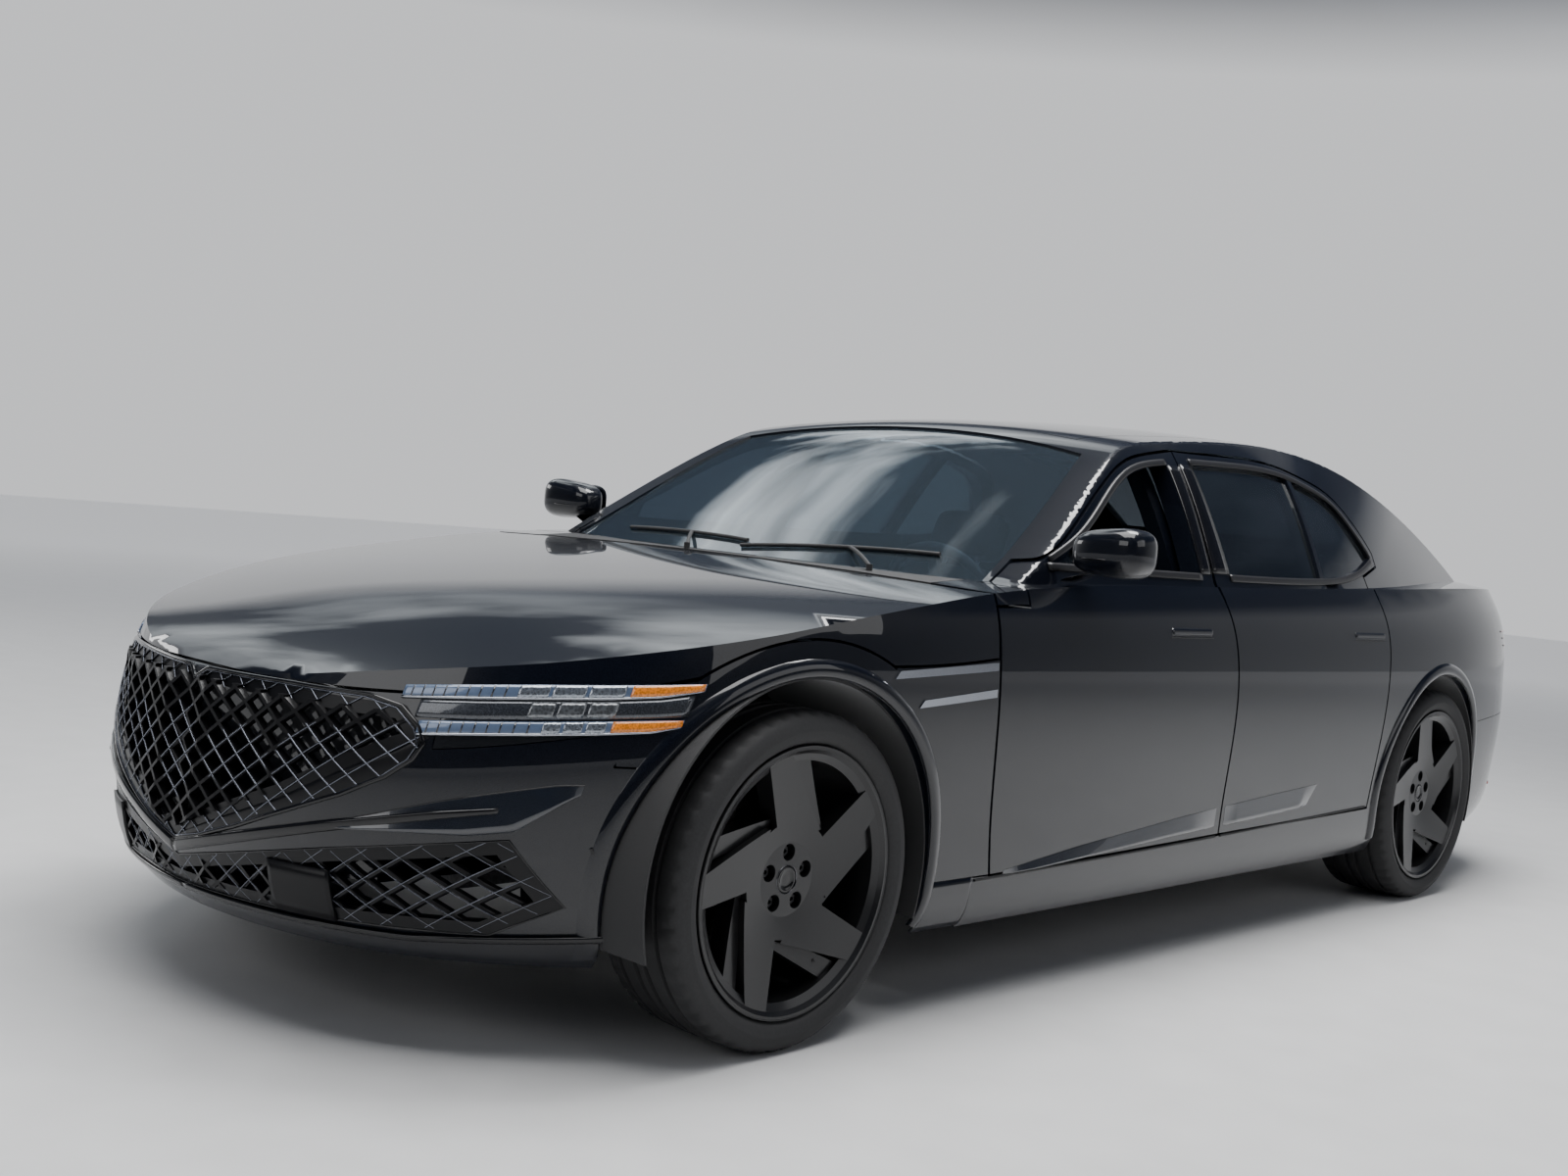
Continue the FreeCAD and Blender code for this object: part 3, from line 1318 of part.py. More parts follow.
def exhaust():
    """Pipe in the floor's tunnel, cross-wise silencer and the hangers that carry both."""
    pipe = rod(exhaust_radius, Vector(0, firewall_y, exhaust_z),
               Vector(0, muffler_y + muffler_fall, exhaust_z))
    middle_y = muffler_y + muffler_length / 2
    can = rod(muffler_radius, Vector(-muffler_half_width, middle_y, exhaust_z),
              Vector(muffler_half_width, middle_y, exhaust_z))
    tunnel_top = floor_z + tunnel_height - wall_plate
    places = [(nose(share), tunnel_top) for share in hanger_ys_share]
    places.append((middle_y, trunk_floor_z - wall_plate))
    hangers = []
    for y, top in places:
        ys = (y - hanger_half, y + hanger_half)
        hangers.append(box((-hanger_half, hanger_half), ys, (exhaust_z, top)))
    return fuse_all([pipe, can] + hangers)


def boot_region(gap):
    """The lid's top and its face at the tail, on the left half."""
    low = box((0, across(boot_half_share) + gap), (nose(boot_face_share) - gap, length),
              (up(boot_low_share) - gap, up(boot_top_share)))
    upper = box((0, width), (0, length), (up(boot_top_share), height))
    return low.fuse(plan_prism(boot_sides_share, gap).common(upper))


def save(name, shape):
    shape.exportStep("parts/%s.step" % name)


def save_pair(name, shape):
    """The left piece and its mirror image on the right, as nodes of their own."""
    save(name + "_left", shape)
    save(name + "_right", mirrored(shape))


def main():
    os.makedirs("parts", exist_ok=True)

    outer = hull(0, 0, 0)
    inner = hull(skin_thickness, skin_thickness, skin_thickness)
    skin = outer.cut(inner)
    front_skin = skin.common(box((0, width), (-length, nose(hood_skin_rear_share)), (0, height * 2)))
    cavity = hull(bumper_thickness, bumper_thickness, bumper_thickness, underside_z + skin_thickness)
    walls = outer.cut(cavity)
    nose_block = box((0, width), (-length, front_axle_y), (0, height))
    nose_walls = walls.common(nose_block)
    front_well = ring_rod(front_axle_y, arch_radius, arch_inner_x)
    rear_well = ring_rod(rear_axle_y, rear_arch_radius, arch_inner_x)
    lamp_core = hull(lamp_depth, lamp_depth, lamp_depth)

    # Hood on its two pins
    hood_place = (hood_hinge_x, hood_axis_y, hood_axis_z)
    hood = solid_of(front_skin.common(hood_region(hood_gap)))
    hood = solid_of(hood.cut(lift_pocket(*hood_place, 1))).fuse(lift_pin(*hood_place))
    hood = whole_of(hood)
    save("hood", hood)

    # Fenders, bumper, grilles, lamps and bright strips at the front
    hood_zone = hood_region(0)
    shut_line = front_door_sides_share[0]
    fender_corners = (
        shut_line[-1],
        (shut_line[-1][0], fender_top_share),
        (fender_front_share, fender_top_share),
        (fender_front_share, fender_foot_share),
        (fender_step_share, fender_foot_share),
        (fender_step_share, door_foot_share),
        shut_line[0],
    )
    fender_sides = (shut_line,) + tuple(zip(fender_corners, fender_corners[1:]))
    band = ring_rod(front_axle_y, arch_radius + arch_band)
    fender_zone = side_prism(fender_sides, -shut_gap / 2)
    fender_zone = fender_zone.common(band.fuse(box((0, width), (front_axle_y, 0), (0, height))))
    fender = both(solid_of(front_skin.common(fender_zone).cut([hood_zone, front_well])))
    save("fenders", fender)

    keel = box((0, arch_inner_x), (nose(keel_front_share), rear_frame_end_y),
               (0, underside_z + skin_thickness * 2))
    fender_room = side_prism(fender_sides, 0).common(band)
    bumper = nose_walls.cut([hood_zone, lamp_region(0), fender_room, front_well, keel])
    bumper = bumper.cut([front_prism(grille_corner_shares), front_prism(lower_grille_corner_shares)])
    bumper = whole_of(solid_of(bumper))
    save("front_bumper", bumper)
    for name, corners in (("grille", grille_corner_shares), ("lower_grille", lower_grille_corner_shares)):
        half = nose_frame(corners, grille_frame, nose_walls).fuse(lattice(corners).common(left_half()))
        half = half.cut(ring_rod(front_axle_y, arch_radius + panel_gap, arch_inner_x))
        whole = whole_of(half)
        save(name, whole)
    lamp = both(solid_of(outer.common(nose_block).cut(lamp_core).common(lamp_region(panel_gap / 2))))
    save("headlamps", lamp)
    proud_hull = hull(-strip_proud, -strip_proud, -strip_proud)
    strips = []
    for corners in (upper_strip_share, lower_strip_share):
        zone = side_prism(polygon_sides(corners), 0, half_width / 2)
        strips.append(solid_of(proud_hull.common(zone).cut(outer)))
    save("fender_strips", both(Part.makeCompound(strips)))

    # Rear bumper and lamps
    rear_bumper = walls.common(side_prism(rear_bumper_sides_share, -panel_gap / 2)).cut([rear_well, keel])
    rear_bumper = whole_of(solid_of(rear_bumper))
    save("rear_bumper", rear_bumper)
    tail_zone = side_prism(tail_lamp_sides_share, -panel_gap / 2, across(tail_lamp_inner_share))
    tail_lamp = both(solid_of(outer.cut(lamp_core).common(tail_zone)))
    save("tail_lamps", tail_lamp)

    # One shell, from which doors, roof, lid and glass openings are parted
    house = glasshouse(0, 0, rail_radius, shut_gap * 5)
    shell = outer.fuse(house)
    shell = shell.cut(hull(door_thickness, bumper_thickness, skin_thickness, floor_z))
    shell = shell.cut(glasshouse(rail_thickness, roof_thickness, 0, skin_thickness * 2))
    near_side = across(side_zone_share)
    high = box((0, width), (-length, length), (up(roof_zone_share), height * 2))
    glass_high = box((-width, width), (-length, 0), (up(windshield_zone_share), height * 2))
    rear_high = box((-width, width), (0, length), (up(rear_glass_zone_share), height * 2))
    cowl_high = box((-width, width), (-length, 0), (up(cowl_zone_share[0]), up(cowl_zone_share[1])))
    body = shell.cut(door_zone(front_door_sides_share, shut_gap / 2))
    body = body.cut(door_zone(rear_door_sides_share, shut_gap / 2))
    body = body.cut([
        side_prism(fender_sides, 0),
        box((0, width), (-length, front_cut_y), (0, height * 2)),
        rear_well,
        side_prism(rear_bumper_sides_share, 0),
        side_prism(tail_lamp_sides_share, 0, across(tail_room_share)),
    ])
    body = body.cut([
        plan_prism(roof_panel_sides_share, panel_gap / 2).common(high),
        plan_prism(windshield_sides_share).common(glass_high),
        plan_prism(rear_glass_sides_share).common(rear_high),
        plan_prism(cowl_sides_share, panel_gap / 2).common(cowl_high),
        boot_region(panel_gap),
    ])
    rail_xs = (frame_rail_x, frame_rail_x + frame_rail_width)
    fender_zs = [up(share) for share in fender_bracket_share]
    lamp_zs = [up(share) for share in lamp_bracket_share]
    tail_zs = [up(share) for share in tail_bracket_share]
    lamp_ys = (lamp_bracket_y, lamp_bracket_y + wall_plate)
    brackets = [
        box(rail_xs, (-length, nose(bumper_wall_share[1])),
            (frame_rail_z, frame_rail_z + frame_rail_height)).common(cavity),
        box((post_x, width), (fender_bracket_y, fender_bracket_y + wall_plate), fender_zs).common(inner),
        box(rail_xs, lamp_ys, (frame_rail_z, lamp_zs[1])),
        box((frame_rail_x, width), lamp_ys, lamp_zs).common(lamp_core),
        box((well_wall_x - wall_plate, width), (tail_bracket_y, tail_bracket_y + wall_plate),
            tail_zs).common(lamp_core),
    ]
    for y in roof_bow_ys:
        bow_room = box((0, across(roof_bow_share[0])), (y, y + pillar_length),
                       (up(roof_bow_share[1]), height))
        bow = roof_slab(roof_thickness).common(bow_room)
        brackets.append(bow.cut(roof_slab(roof_thickness + wall_plate)))
    body = body.fuse(structure()).fuse(brackets).cut(underfloor())
    pad_xs = (pad_x - pad_width / 2, pad_x + pad_width / 2)
    pad_zs = (underside_z - pad_height, underside_z + pad_height)
    pads = [box(pad_xs, (y - pad_length / 2, y + pad_length / 2), pad_zs) for y in (front_pad_y, rear_pad_y)]
    body = whole_of(body.fuse(pads))
    body = solid_of(body)
    save("body_shell", body)
    roof_half = solid_of(shell.common(plan_prism(roof_panel_sides_share, -panel_gap / 2).common(high)))
    save("roof_panel", whole_of(roof_half))
    boot_place = (boot_hinge_x, boot_axis_y, boot_axis_z)
    lid = solid_of(shell.common(boot_region(-run_clearance)))
    lid = whole_of(solid_of(lid.cut(lift_pocket(*boot_place, -1))).fuse(lift_pin(*boot_place)))
    save("boot_lid", lid)

    # Glass and cowl
    glass = roof_surface(glass_drop).extrude(Vector(0, 0, -glass_thickness))
    windshield = solid_of(glass.common(plan_prism(windshield_sides_share).common(glass_high)))
    save("windshield", windshield)
    rear_window = solid_of(glass.common(plan_prism(rear_glass_sides_share).common(rear_high)))
    save("rear_window", rear_window)
    cowl = whole_of(skin.common(plan_prism(cowl_sides_share, -panel_gap / 2)).common(cowl_high))
    deck_rows = [[Vector(across(step), nose(y), up(centre - (centre - edge) * (step / top_edge_share) ** 2))
                  for step in top_step_shares] for y, centre, edge in top_shares]
    wiper_pieces = wipers(roof_surface(glass_drop), grid_surface(deck_rows))
    cowl = fuse_all([cowl] + wiper_pieces)
    save("cowl_and_wipers", cowl)

    # Doors with their windows, hinges' pockets, handles, glass and mirrors
    side_glass = side_surface(side_glass_inset).extrude(Vector(-glass_thickness, 0, 0))
    front_opening = side_prism(front_window_sides_share, 0, near_side)
    bar_y = nose(front_divider_share)
    front_bar = box((0, width), (bar_y, bar_y + divider_width), (0, height * 2))
    rear_opening = side_prism(rear_window_sides_share, 0, near_side)
    rear_bar = side_prism(rear_divider_sides_share, 0, near_side)
    front = ("front", front_door_sides_share, front_opening, front_bar, front_door_axis_share,
             front_handle_y)
    rear = ("rear", rear_door_sides_share, rear_opening, rear_bar, rear_door_axis_share, rear_handle_y)
    for place, sides, opening, bar, axis_share, handle_y in (front, rear):
        door = solid_of(shell.common(door_zone(sides, -shut_gap / 2)))
        axis_point = door_axis(axis_share)
        door = door.cut([opening.cut(bar)] + [hinge_pocket(axis_point, z) for z in hinge_heights()])
        if place == "front":
            door = door.cut(swing_room(axis_point, frame_rear_edge_share))
        else:
            door = door.cut(tip_room())
        door = solid_of(door.fuse(handle(handle_y, outer)))
        save_pair("door_" + place, door)
        panes = side_glass.common(opening.cut(bar))
        if place == "front":
            save("glass_front_right", mirrored(panes))
            ahead = box((0, width), (-half_length, bar_y), (0, height * 2))
            save("quarter_light_front_left", panes.common(ahead))
            door_mirror = solid_of(mirror().cut(door))
            save_pair("mirror", door_mirror)
        else:
            save_pair("glass_rear", panes)

    # Running gear
    for axle, axle_y, track, section in (("front", front_axle_y, front_track, front_tyre_width),
                                         ("rear", rear_axle_y, rear_track, rear_tyre_width)):
        tyre_solid = tyre(section)
        rim_solid = rim(section)
        for side, name in ((1, "left"), (-1, "right")):
            save("tyre_%s_%s" % (axle, name), placed_wheel(tyre_solid, axle_y, track, side))
            save("rim_%s_%s" % (axle, name), placed_wheel(rim_solid, axle_y, track, side))
        steered = axle == "front"
        save(axle + "_axle_frame", whole_of(axle_frame(axle_y, track, steered)))
    save_pair("knuckle", knuckle(front_track, front_axle_y))
    liners = [liner(front_axle_y, arch_radius), liner(rear_axle_y, rear_arch_radius)]
    save("wheel_liners", both(Part.makeCompound(liners)))
    save("engine_block", box((-engine_width / 2, engine_width / 2),
                             (engine_rear_y - engine_length, engine_rear_y),
                             (engine_floor_z, engine_floor_z + engine_height)))
    save("exhaust", exhaust())

    # Cabin
    dash = dashboard()
    save("dashboard", dash)
    save("steering_wheel", solid_of(steering_wheel().cut(dash)))
    save("front_seats", both(front_seat()))
    save("rear_seat", rear_bench())


main()
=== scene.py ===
import bpy, bmesh, math
import numpy as np
from mathutils import Vector, Matrix
from mathutils.bvhtree import BVHTree


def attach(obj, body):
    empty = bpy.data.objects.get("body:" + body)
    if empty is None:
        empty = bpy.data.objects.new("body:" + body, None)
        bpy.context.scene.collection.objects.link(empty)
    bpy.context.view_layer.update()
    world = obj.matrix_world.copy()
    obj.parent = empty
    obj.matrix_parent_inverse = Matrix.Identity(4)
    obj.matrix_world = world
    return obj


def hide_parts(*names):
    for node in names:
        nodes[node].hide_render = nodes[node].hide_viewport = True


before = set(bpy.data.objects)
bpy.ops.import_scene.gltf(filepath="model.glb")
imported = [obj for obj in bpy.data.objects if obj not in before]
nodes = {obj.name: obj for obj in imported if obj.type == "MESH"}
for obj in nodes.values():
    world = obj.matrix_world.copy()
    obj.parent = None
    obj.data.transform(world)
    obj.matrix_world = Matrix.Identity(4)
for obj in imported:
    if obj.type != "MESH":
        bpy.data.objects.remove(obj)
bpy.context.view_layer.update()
scene = bpy.context.scene
HL, HW, HT = 2.6375, 0.965, 1.49
FRONT_AXLE, REAR_AXLE, HUB = -1.7525, 1.4275, 0.357
FRONT_HALF_TRACK, REAR_HALF_TRACK = 0.8215, 0.82
FRONT_SECTION, REAR_SECTION = 0.245, 0.265
LUG_CIRCLE, LUG_COUNT = 0.05715, 5
RIM_INSET = 0.01

# Shape tables, the same shares as the solids follow
LEVELS = ((0.11, 0.915, 0.04, 0.07), (0.13, 0.938, 0.028, 0.054), (0.15, 0.957, 0.019, 0.036),
          (0.2, 0.972, 0.008, 0.012), (0.27, 0.978, 0.001, 0.003), (0.345, 0.987, 0.0, 0.0),
          (0.42, 0.996, 0.006, 0.004), (0.48, 1.0, 0.018, 0.01), (0.55, 0.997, 0.032, 0.014),
          (0.61, 0.983, 0.042, 0.016), (0.655, 0.958, 0.048, 0.018), (0.7, 0.922, 0.052, 0.024),
          (0.78, 0.85, 0.056, 0.05))
NOSE = ((0.0, 0.0), (0.2, 0.006), (0.4, 0.024), (0.56, 0.052), (0.7, 0.092), (0.81, 0.14), (0.89, 0.188),
        (0.945, 0.24))
SIDE = ((0.975, -0.64), (0.988, -0.54), (0.994, -0.43), (1.0, -0.2), (1.0, 0.05), (1.0, 0.26),
        (0.998, 0.42), (0.99, 0.56), (0.968, 0.69))
TAIL = ((0.925, 0.19), (0.855, 0.115), (0.76, 0.066), (0.62, 0.036), (0.42, 0.014), (0.21, 0.003),
        (0.0, 0.0))
TOP = ((-1.04, 0.405, 0.385), (-1.0, 0.44, 0.42), (-0.97, 0.478, 0.452), (-0.93, 0.512, 0.478),
       (-0.88, 0.54, 0.503), (-0.8, 0.575, 0.542), (-0.68, 0.612, 0.588), (-0.56, 0.64, 0.622),
       (-0.44, 0.662, 0.65), (-0.3, 0.68, 0.668), (-0.1, 0.694, 0.678), (0.1, 0.702, 0.684),
       (0.3, 0.714, 0.692), (0.5, 0.734, 0.7), (0.68, 0.754, 0.704), (0.8, 0.757, 0.698),
       (0.9, 0.748, 0.686), (0.96, 0.738, 0.678), (1.04, 0.715, 0.66))
ROOF = ((-0.56, 0.528), (-0.47, 0.606), (-0.41, 0.661), (-0.363, 0.708), (-0.25, 0.829), (-0.171, 0.91),
        (-0.138, 0.937), (-0.114, 0.95), (-0.076, 0.962), (0.0, 0.976), (0.076, 0.987), (0.152, 0.995),
        (0.228, 0.999), (0.303, 0.997), (0.379, 0.988), (0.455, 0.969), (0.531, 0.937), (0.607, 0.893),
        (0.683, 0.84), (0.75, 0.787), (0.82, 0.73), (0.92, 0.65))
BELT = ((-0.6, 0.76), (-0.5, 0.806), (-0.42, 0.84), (-0.3, 0.886), (-0.15, 0.916), (0.0, 0.926),
        (0.2, 0.926), (0.35, 0.908), (0.5, 0.87), (0.65, 0.815), (0.8, 0.745), (0.95, 0.67))
LEAN = ((-0.06, -0.03), (0.0, 0.0), (0.06, 0.044), (0.12, 0.094), (0.18, 0.15), (0.24, 0.216),
        (0.31, 0.305), (0.4, 0.43))


# Smooth reference surfaces
def chord(points):
    steps = np.linalg.norm(np.diff(points, axis=-2), axis=-1)
    total = np.concatenate([np.zeros(steps.shape[:-1] + (1,)), np.cumsum(steps, axis=-1)], axis=-1)
    total = total / total[..., -1:]
    return total.mean(axis=0) if total.ndim > 1 else total


def cubic(knots, values, at):
    """A natural cubic spline through values at the knots, read at other places."""
    n = len(knots)
    h = np.diff(knots)
    rows = np.eye(n)
    right = np.zeros_like(values)
    for i in range(1, n - 1):
        rows[i, i - 1], rows[i, i], rows[i, i + 1] = h[i - 1], 2 * (h[i - 1] + h[i]), h[i]
        right[i] = 6 * ((values[i + 1] - values[i]) / h[i] - (values[i] - values[i - 1]) / h[i - 1])
    bend = np.linalg.solve(rows, right)
    k = np.clip(np.searchsorted(knots, at) - 1, 0, n - 2)
    a = ((knots[k + 1] - at) / h[k])[:, None]
    b = 1 - a
    gap = (h[k] ** 2 / 6)[:, None]
    return a * values[k] + b * values[k + 1] + ((a ** 3 - a) * bend[k] + (b ** 3 - b) * bend[k + 1]) * gap


def fine(rows, across, along):
    """A grid of points resampled on smooth curves both ways."""
    rows = np.array(rows, float)
    t = chord(rows)
    wide = np.array([cubic(t, row, np.linspace(0, 1, along)) for row in rows])
    s = chord(np.swapaxes(rows, 0, 1))
    flat = cubic(s, wide.reshape(len(rows), -1), np.linspace(0, 1, across))
    return flat.reshape(across, along, 3)


def waterline(level):
    z, wide, front, back = level
    pts = [(x * wide, front - 1 + y) for x, y in NOSE] + [(x * wide, y) for x, y in SIDE]
    pts += [(x * wide, 1 - back - y) for x, y in TAIL]
    pts = [(-x, y) for x, y in reversed(pts[1:3])] + pts + [(-x, y) for x, y in reversed(pts[-3:-1])]
    return [(x * HW, y * HL, z * HT) for x, y in pts]


def mesh_of(name, verts, faces):
    mesh = bpy.data.meshes.new(name)
    mesh.from_pydata([tuple(v) for v in verts], [], faces)
    mesh.update()
    return mesh


def grid_faces(n, m, start=0, flip=False):
    faces = []
    for i in range(n - 1):
        for j in range(m - 1):
            a = start + i * m + j
            quad = (a, a + 1, a + m + 1, a + m)
            faces.append(quad[::-1] if flip else quad)
    return faces


hull_grid = fine([waterline(level) for level in LEVELS], 90, 260)
steps = (-1.3, -1.0, -0.75, -0.5, -0.25, 0.0, 0.25, 0.5, 0.75, 1.0, 1.3)
top_grid = fine([[(s * HW, y * HL, (c - (c - e) * (s / 0.985) ** 2) * HT) for s in steps] for y, c,
                 e in TOP], 200, 50)
steps = (-1.0, -0.7, -0.45, -0.2, 0.0, 0.2, 0.45, 0.7, 1.0)
roof_grid = fine([[(s * HW, y * HL, (c - 0.055 * s * s) * HT) for s in steps] for y, c in ROOF], 200, 50)
side_grid = fine([[((w - lean) * HW, y * HL, (0.69 + rise) * HT) for rise, lean in LEAN] for y, w in BELT],
                 160, 40)


def surface(grid, mirror_too):
    """A grid as a mesh, also mirrored, its faces turned away from the car's middle; and its tree."""
    n, m = grid.shape[:2]
    mid = grid[n // 2, m // 2]
    turn = np.cross(grid[n // 2 + 1, m // 2] - mid, grid[n // 2, m // 2 + 1] - mid)
    flip = float(turn.dot(mid - np.array((0.0, mid[1], 0.5)))) > 0
    verts, faces = [], []
    for sign in ((1, -1) if mirror_too else (1,)):
        start = len(verts)
        verts += [(sign * p[0], p[1], p[2]) for p in grid.reshape(-1, 3)]
        faces += grid_faces(n, m, start, flip != (sign < 0))
    mesh = mesh_of("reference", verts, faces)
    return mesh, BVHTree.FromPolygons([v.co for v in mesh.vertices],
                                      [tuple(p.vertices) for p in mesh.polygons])


hull_mesh, hull_tree = surface(hull_grid, True)
top_mesh, top_tree = surface(top_grid, False)
house_mesh, house_tree = surface(side_grid, True)
roof_mesh, roof_tree = surface(roof_grid, False)

def cast(trees, start, way):
    best = None
    for tree in trees:
        spot, normal, _, distance = tree.ray_cast(Vector(start), Vector(way))
        if spot is not None and (best is None or distance < best[2]):
            best = (spot, normal if normal.dot(Vector(way)) < 0 else -normal, distance)
    return best


def on_side(sign=1, trees=None):
    """A place on the car's side from y and z."""
    def place(y, z):
        got = cast(trees or [hull_tree], (2.0 * sign, y, z), (-sign, 0, 0))
        return (got[0], got[1]) if got else (Vector((HW * sign, y, z)), Vector((sign, 0, 0)))
    return place


def on_nose(x, z):
    got = cast([hull_tree], (x, -4, z), (0, 1, 0))
    return (got[0], got[1]) if got else (Vector((x, -HL, z)), Vector((0, -1, 0)))


def on_tail(x, z):
    got = cast([hull_tree], (x, 4, z), (0, -1, 0))
    return (got[0], got[1]) if got else (Vector((x, HL, z)), Vector((0, 1, 0)))


# Materials
def material(name, color, rough, metal=0.0, coat=0.0, coat_rough=0.03, scale=200.0, bump=0.0, vary=0.0,
             spread=0.06,
             sheen=0.0, glow=None, through=0.0, kind="NOISE", specular=0.5, second=None, dent=0.0005):
    """A principled material whose colour, roughness and bump vary on a noise in object space."""
    mat = bpy.data.materials.new(name)
    mat.use_nodes = True
    tree = mat.node_tree
    shader = tree.nodes["Principled BSDF"]
    shader.inputs["Metallic"].default_value = metal
    shader.inputs["Coat Weight"].default_value = coat
    shader.inputs["Coat Roughness"].default_value = coat_rough
    shader.inputs["Specular IOR Level"].default_value = specular
    shader.inputs["Sheen Weight"].default_value = sheen
    shader.inputs["Transmission Weight"].default_value = through
    if glow:
        shader.inputs["Emission Color"].default_value = tuple(color) + (1,)
        shader.inputs["Emission Strength"].default_value = glow
    where = tree.nodes.new("ShaderNodeTexCoord")
    if kind == "VORONOI":
        noise = tree.nodes.new("ShaderNodeTexVoronoi")
        value = noise.outputs["Distance"]
    elif kind == "WAVE":
        noise = tree.nodes.new("ShaderNodeTexWave")
        noise.inputs["Distortion"].default_value = 1.5
        value = noise.outputs["Fac"]
    else:
        noise = tree.nodes.new("ShaderNodeTexNoise")
        noise.inputs["Detail"].default_value = 5.0
        value = noise.outputs["Fac"]
    noise.inputs["Scale"].default_value = scale
    tree.links.new(where.outputs["Object"], noise.inputs["Vector"])
    ramp = tree.nodes.new("ShaderNodeValToRGB")
    low = [c * (1 - vary) for c in color]
    high = [min(1.0, c * (1 + vary)) for c in (second or color)]
    ramp.color_ramp.elements[0].position, ramp.color_ramp.elements[1].position = 0.3, 0.7
    ramp.color_ramp.elements[0].color = tuple(low) + (1,)
    ramp.color_ramp.elements[1].color = tuple(high) + (1,)
    tree.links.new(value, ramp.inputs["Fac"])
    tree.links.new(ramp.outputs["Color"], shader.inputs["Base Color"])
    rough_map = tree.nodes.new("ShaderNodeMapRange")
    rough_map.inputs["To Min"].default_value = max(0.0, rough - spread / 2)
    rough_map.inputs["To Max"].default_value = min(1.0, rough + spread / 2)
    tree.links.new(value, rough_map.inputs["Value"])
    tree.links.new(rough_map.outputs["Result"], shader.inputs["Roughness"])
    if bump:
        bumps = tree.nodes.new("ShaderNodeBump")
        bumps.inputs["Strength"].default_value = bump
        bumps.inputs["Distance"].default_value = dent
        tree.links.new(value, bumps.inputs["Height"])
        tree.links.new(bumps.outputs["Normal"], shader.inputs["Normal"])
    return mat


paint = material("paint_black", (0.003, 0.004, 0.0075), 0.3, 0.0, 1.0, 0.012, 900, 0.0, 0.35, 0.05,
                 specular=0.12)
gloss = material("gloss_black", (0.005, 0.005, 0.006), 0.14, 0.0, 0.4, 0.02, 600, 0.02, 0.2, 0.04,
                 specular=0.3)
mesh_black = material("grille_black", (0.006, 0.006, 0.007), 0.3, 0.0, 0.0, 0.1, 500, 0.05, 0.2, 0.08,
                      specular=0.25)
wire = material("grille_wire", (0.16, 0.17, 0.2), 0.22, 1.0, 0.0, 0.1, 300, 0.02, 0.15, 0.08)
facet = material("body_facet", (0.012, 0.015, 0.022), 0.16, 0.0, 1.0, 0.02, 500, 0.0, 0.3, 0.05,
                 specular=0.6)
satin = material("satin_dark", (0.02, 0.02, 0.022), 0.34, 0.3, 0.0, 0.1, 500, 0.04, 0.2, 0.08)
matte = material("matte_grain", (0.022, 0.022, 0.023), 0.62, 0.0, 0.0, 0.1, 900, 0.25, 0.25, 0.16,
                 kind="VORONOI")
bright = material("satin_bright", (0.44, 0.46, 0.5), 0.2, 1.0, 0.0, 0.1, 300, 0.02, 0.06, 0.1)
dark_bright = material("smoked_bright", (0.085, 0.085, 0.092), 0.16, 1.0, 0.3, 0.05, 300, 0.02, 0.1, 0.08)
wheel_black = material("wheel_satin_black", (0.012, 0.012, 0.013), 0.3, 0.35, 0.25, 0.12, 420, 0.03, 0.2,
                       0.08)
rubber = material("tyre_rubber", (0.017, 0.017, 0.018), 0.7, 0.0, 0.0, 0.1, 160, 0.18, 0.25, 0.14)
iron = material("cast_iron", (0.1, 0.1, 0.105), 0.55, 0.85, 0.0, 0.1, 90, 0.35, 0.35, 0.2, dent=0.001)
steel = material("machined_steel", (0.42, 0.41, 0.4), 0.32, 1.0, 0.0, 0.1, 120, 0.06, 0.12, 0.14,
                 kind="WAVE")
leather = material("dark_leather", (0.02, 0.018, 0.018), 0.48, 0.0, 0.0, 0.1, 420, 0.45, 0.25, 0.12,
                   kind="VORONOI")
carpet = material("floor_carpet", (0.01, 0.01, 0.011), 0.92, 0.0, 0.0, 0.1, 1400, 0.6, 0.4, 0.1, sheen=0.3)
lamp_dark = material("lamp_inner_dark", (0.012, 0.013, 0.015), 0.12, 0.2, 1.0, 0.02, 260, 0.04, 0.3, 0.06)
crystal = material("lamp_crystal", (0.3, 0.33, 0.37), 0.12, 0.7, 1.0, 0.02, 160, 0.35, 0.18, 0.1,
                   kind="VORONOI",
                   dent=0.002)
smoked_crystal = material("lamp_smoked_crystal", (0.16, 0.17, 0.18), 0.16, 0.6, 1.0, 0.02, 160, 0.35, 0.3,
                          0.1,
                          kind="VORONOI", dent=0.002)
smoked = material("lamp_smoked", (0.055, 0.06, 0.07), 0.2, 0.5, 1.0, 0.02, 260, 0.04, 0.3, 0.06)
light_line = material("light_guide", (0.13, 0.18, 0.28), 0.2, 0.2, 1.0, 0.02, 240, 0.1, 0.05, 0.1)
amber = material("lamp_amber", (0.75, 0.22, 0.015), 0.16, 0.0, 1.0, 0.02, 240, 0.3, 0.25, 0.08,
                 kind="VORONOI", dent=0.001)
red = material("lamp_red", (0.11, 0.004, 0.006), 0.12, 0.0, 1.0, 0.02, 300, 0.2, 0.4, 0.06, kind="VORONOI",
               dent=0.001)
red_line = material("lamp_red_line", (0.42, 0.012, 0.012), 0.18, 0.0, 1.0, 0.02, 300, 0.2, 0.25, 0.06)
floor_mat = material("studio_floor", (0.6, 0.6, 0.6), 0.55, 0.0, 0.0, 0.1, 6, 0.0, 0.03, 0.1)
mirror_mat = material("mirror_glass", (0.8, 0.82, 0.84), 0.03, 1.0, 0.0, 0.1, 30, 0.0, 0.02, 0.02)
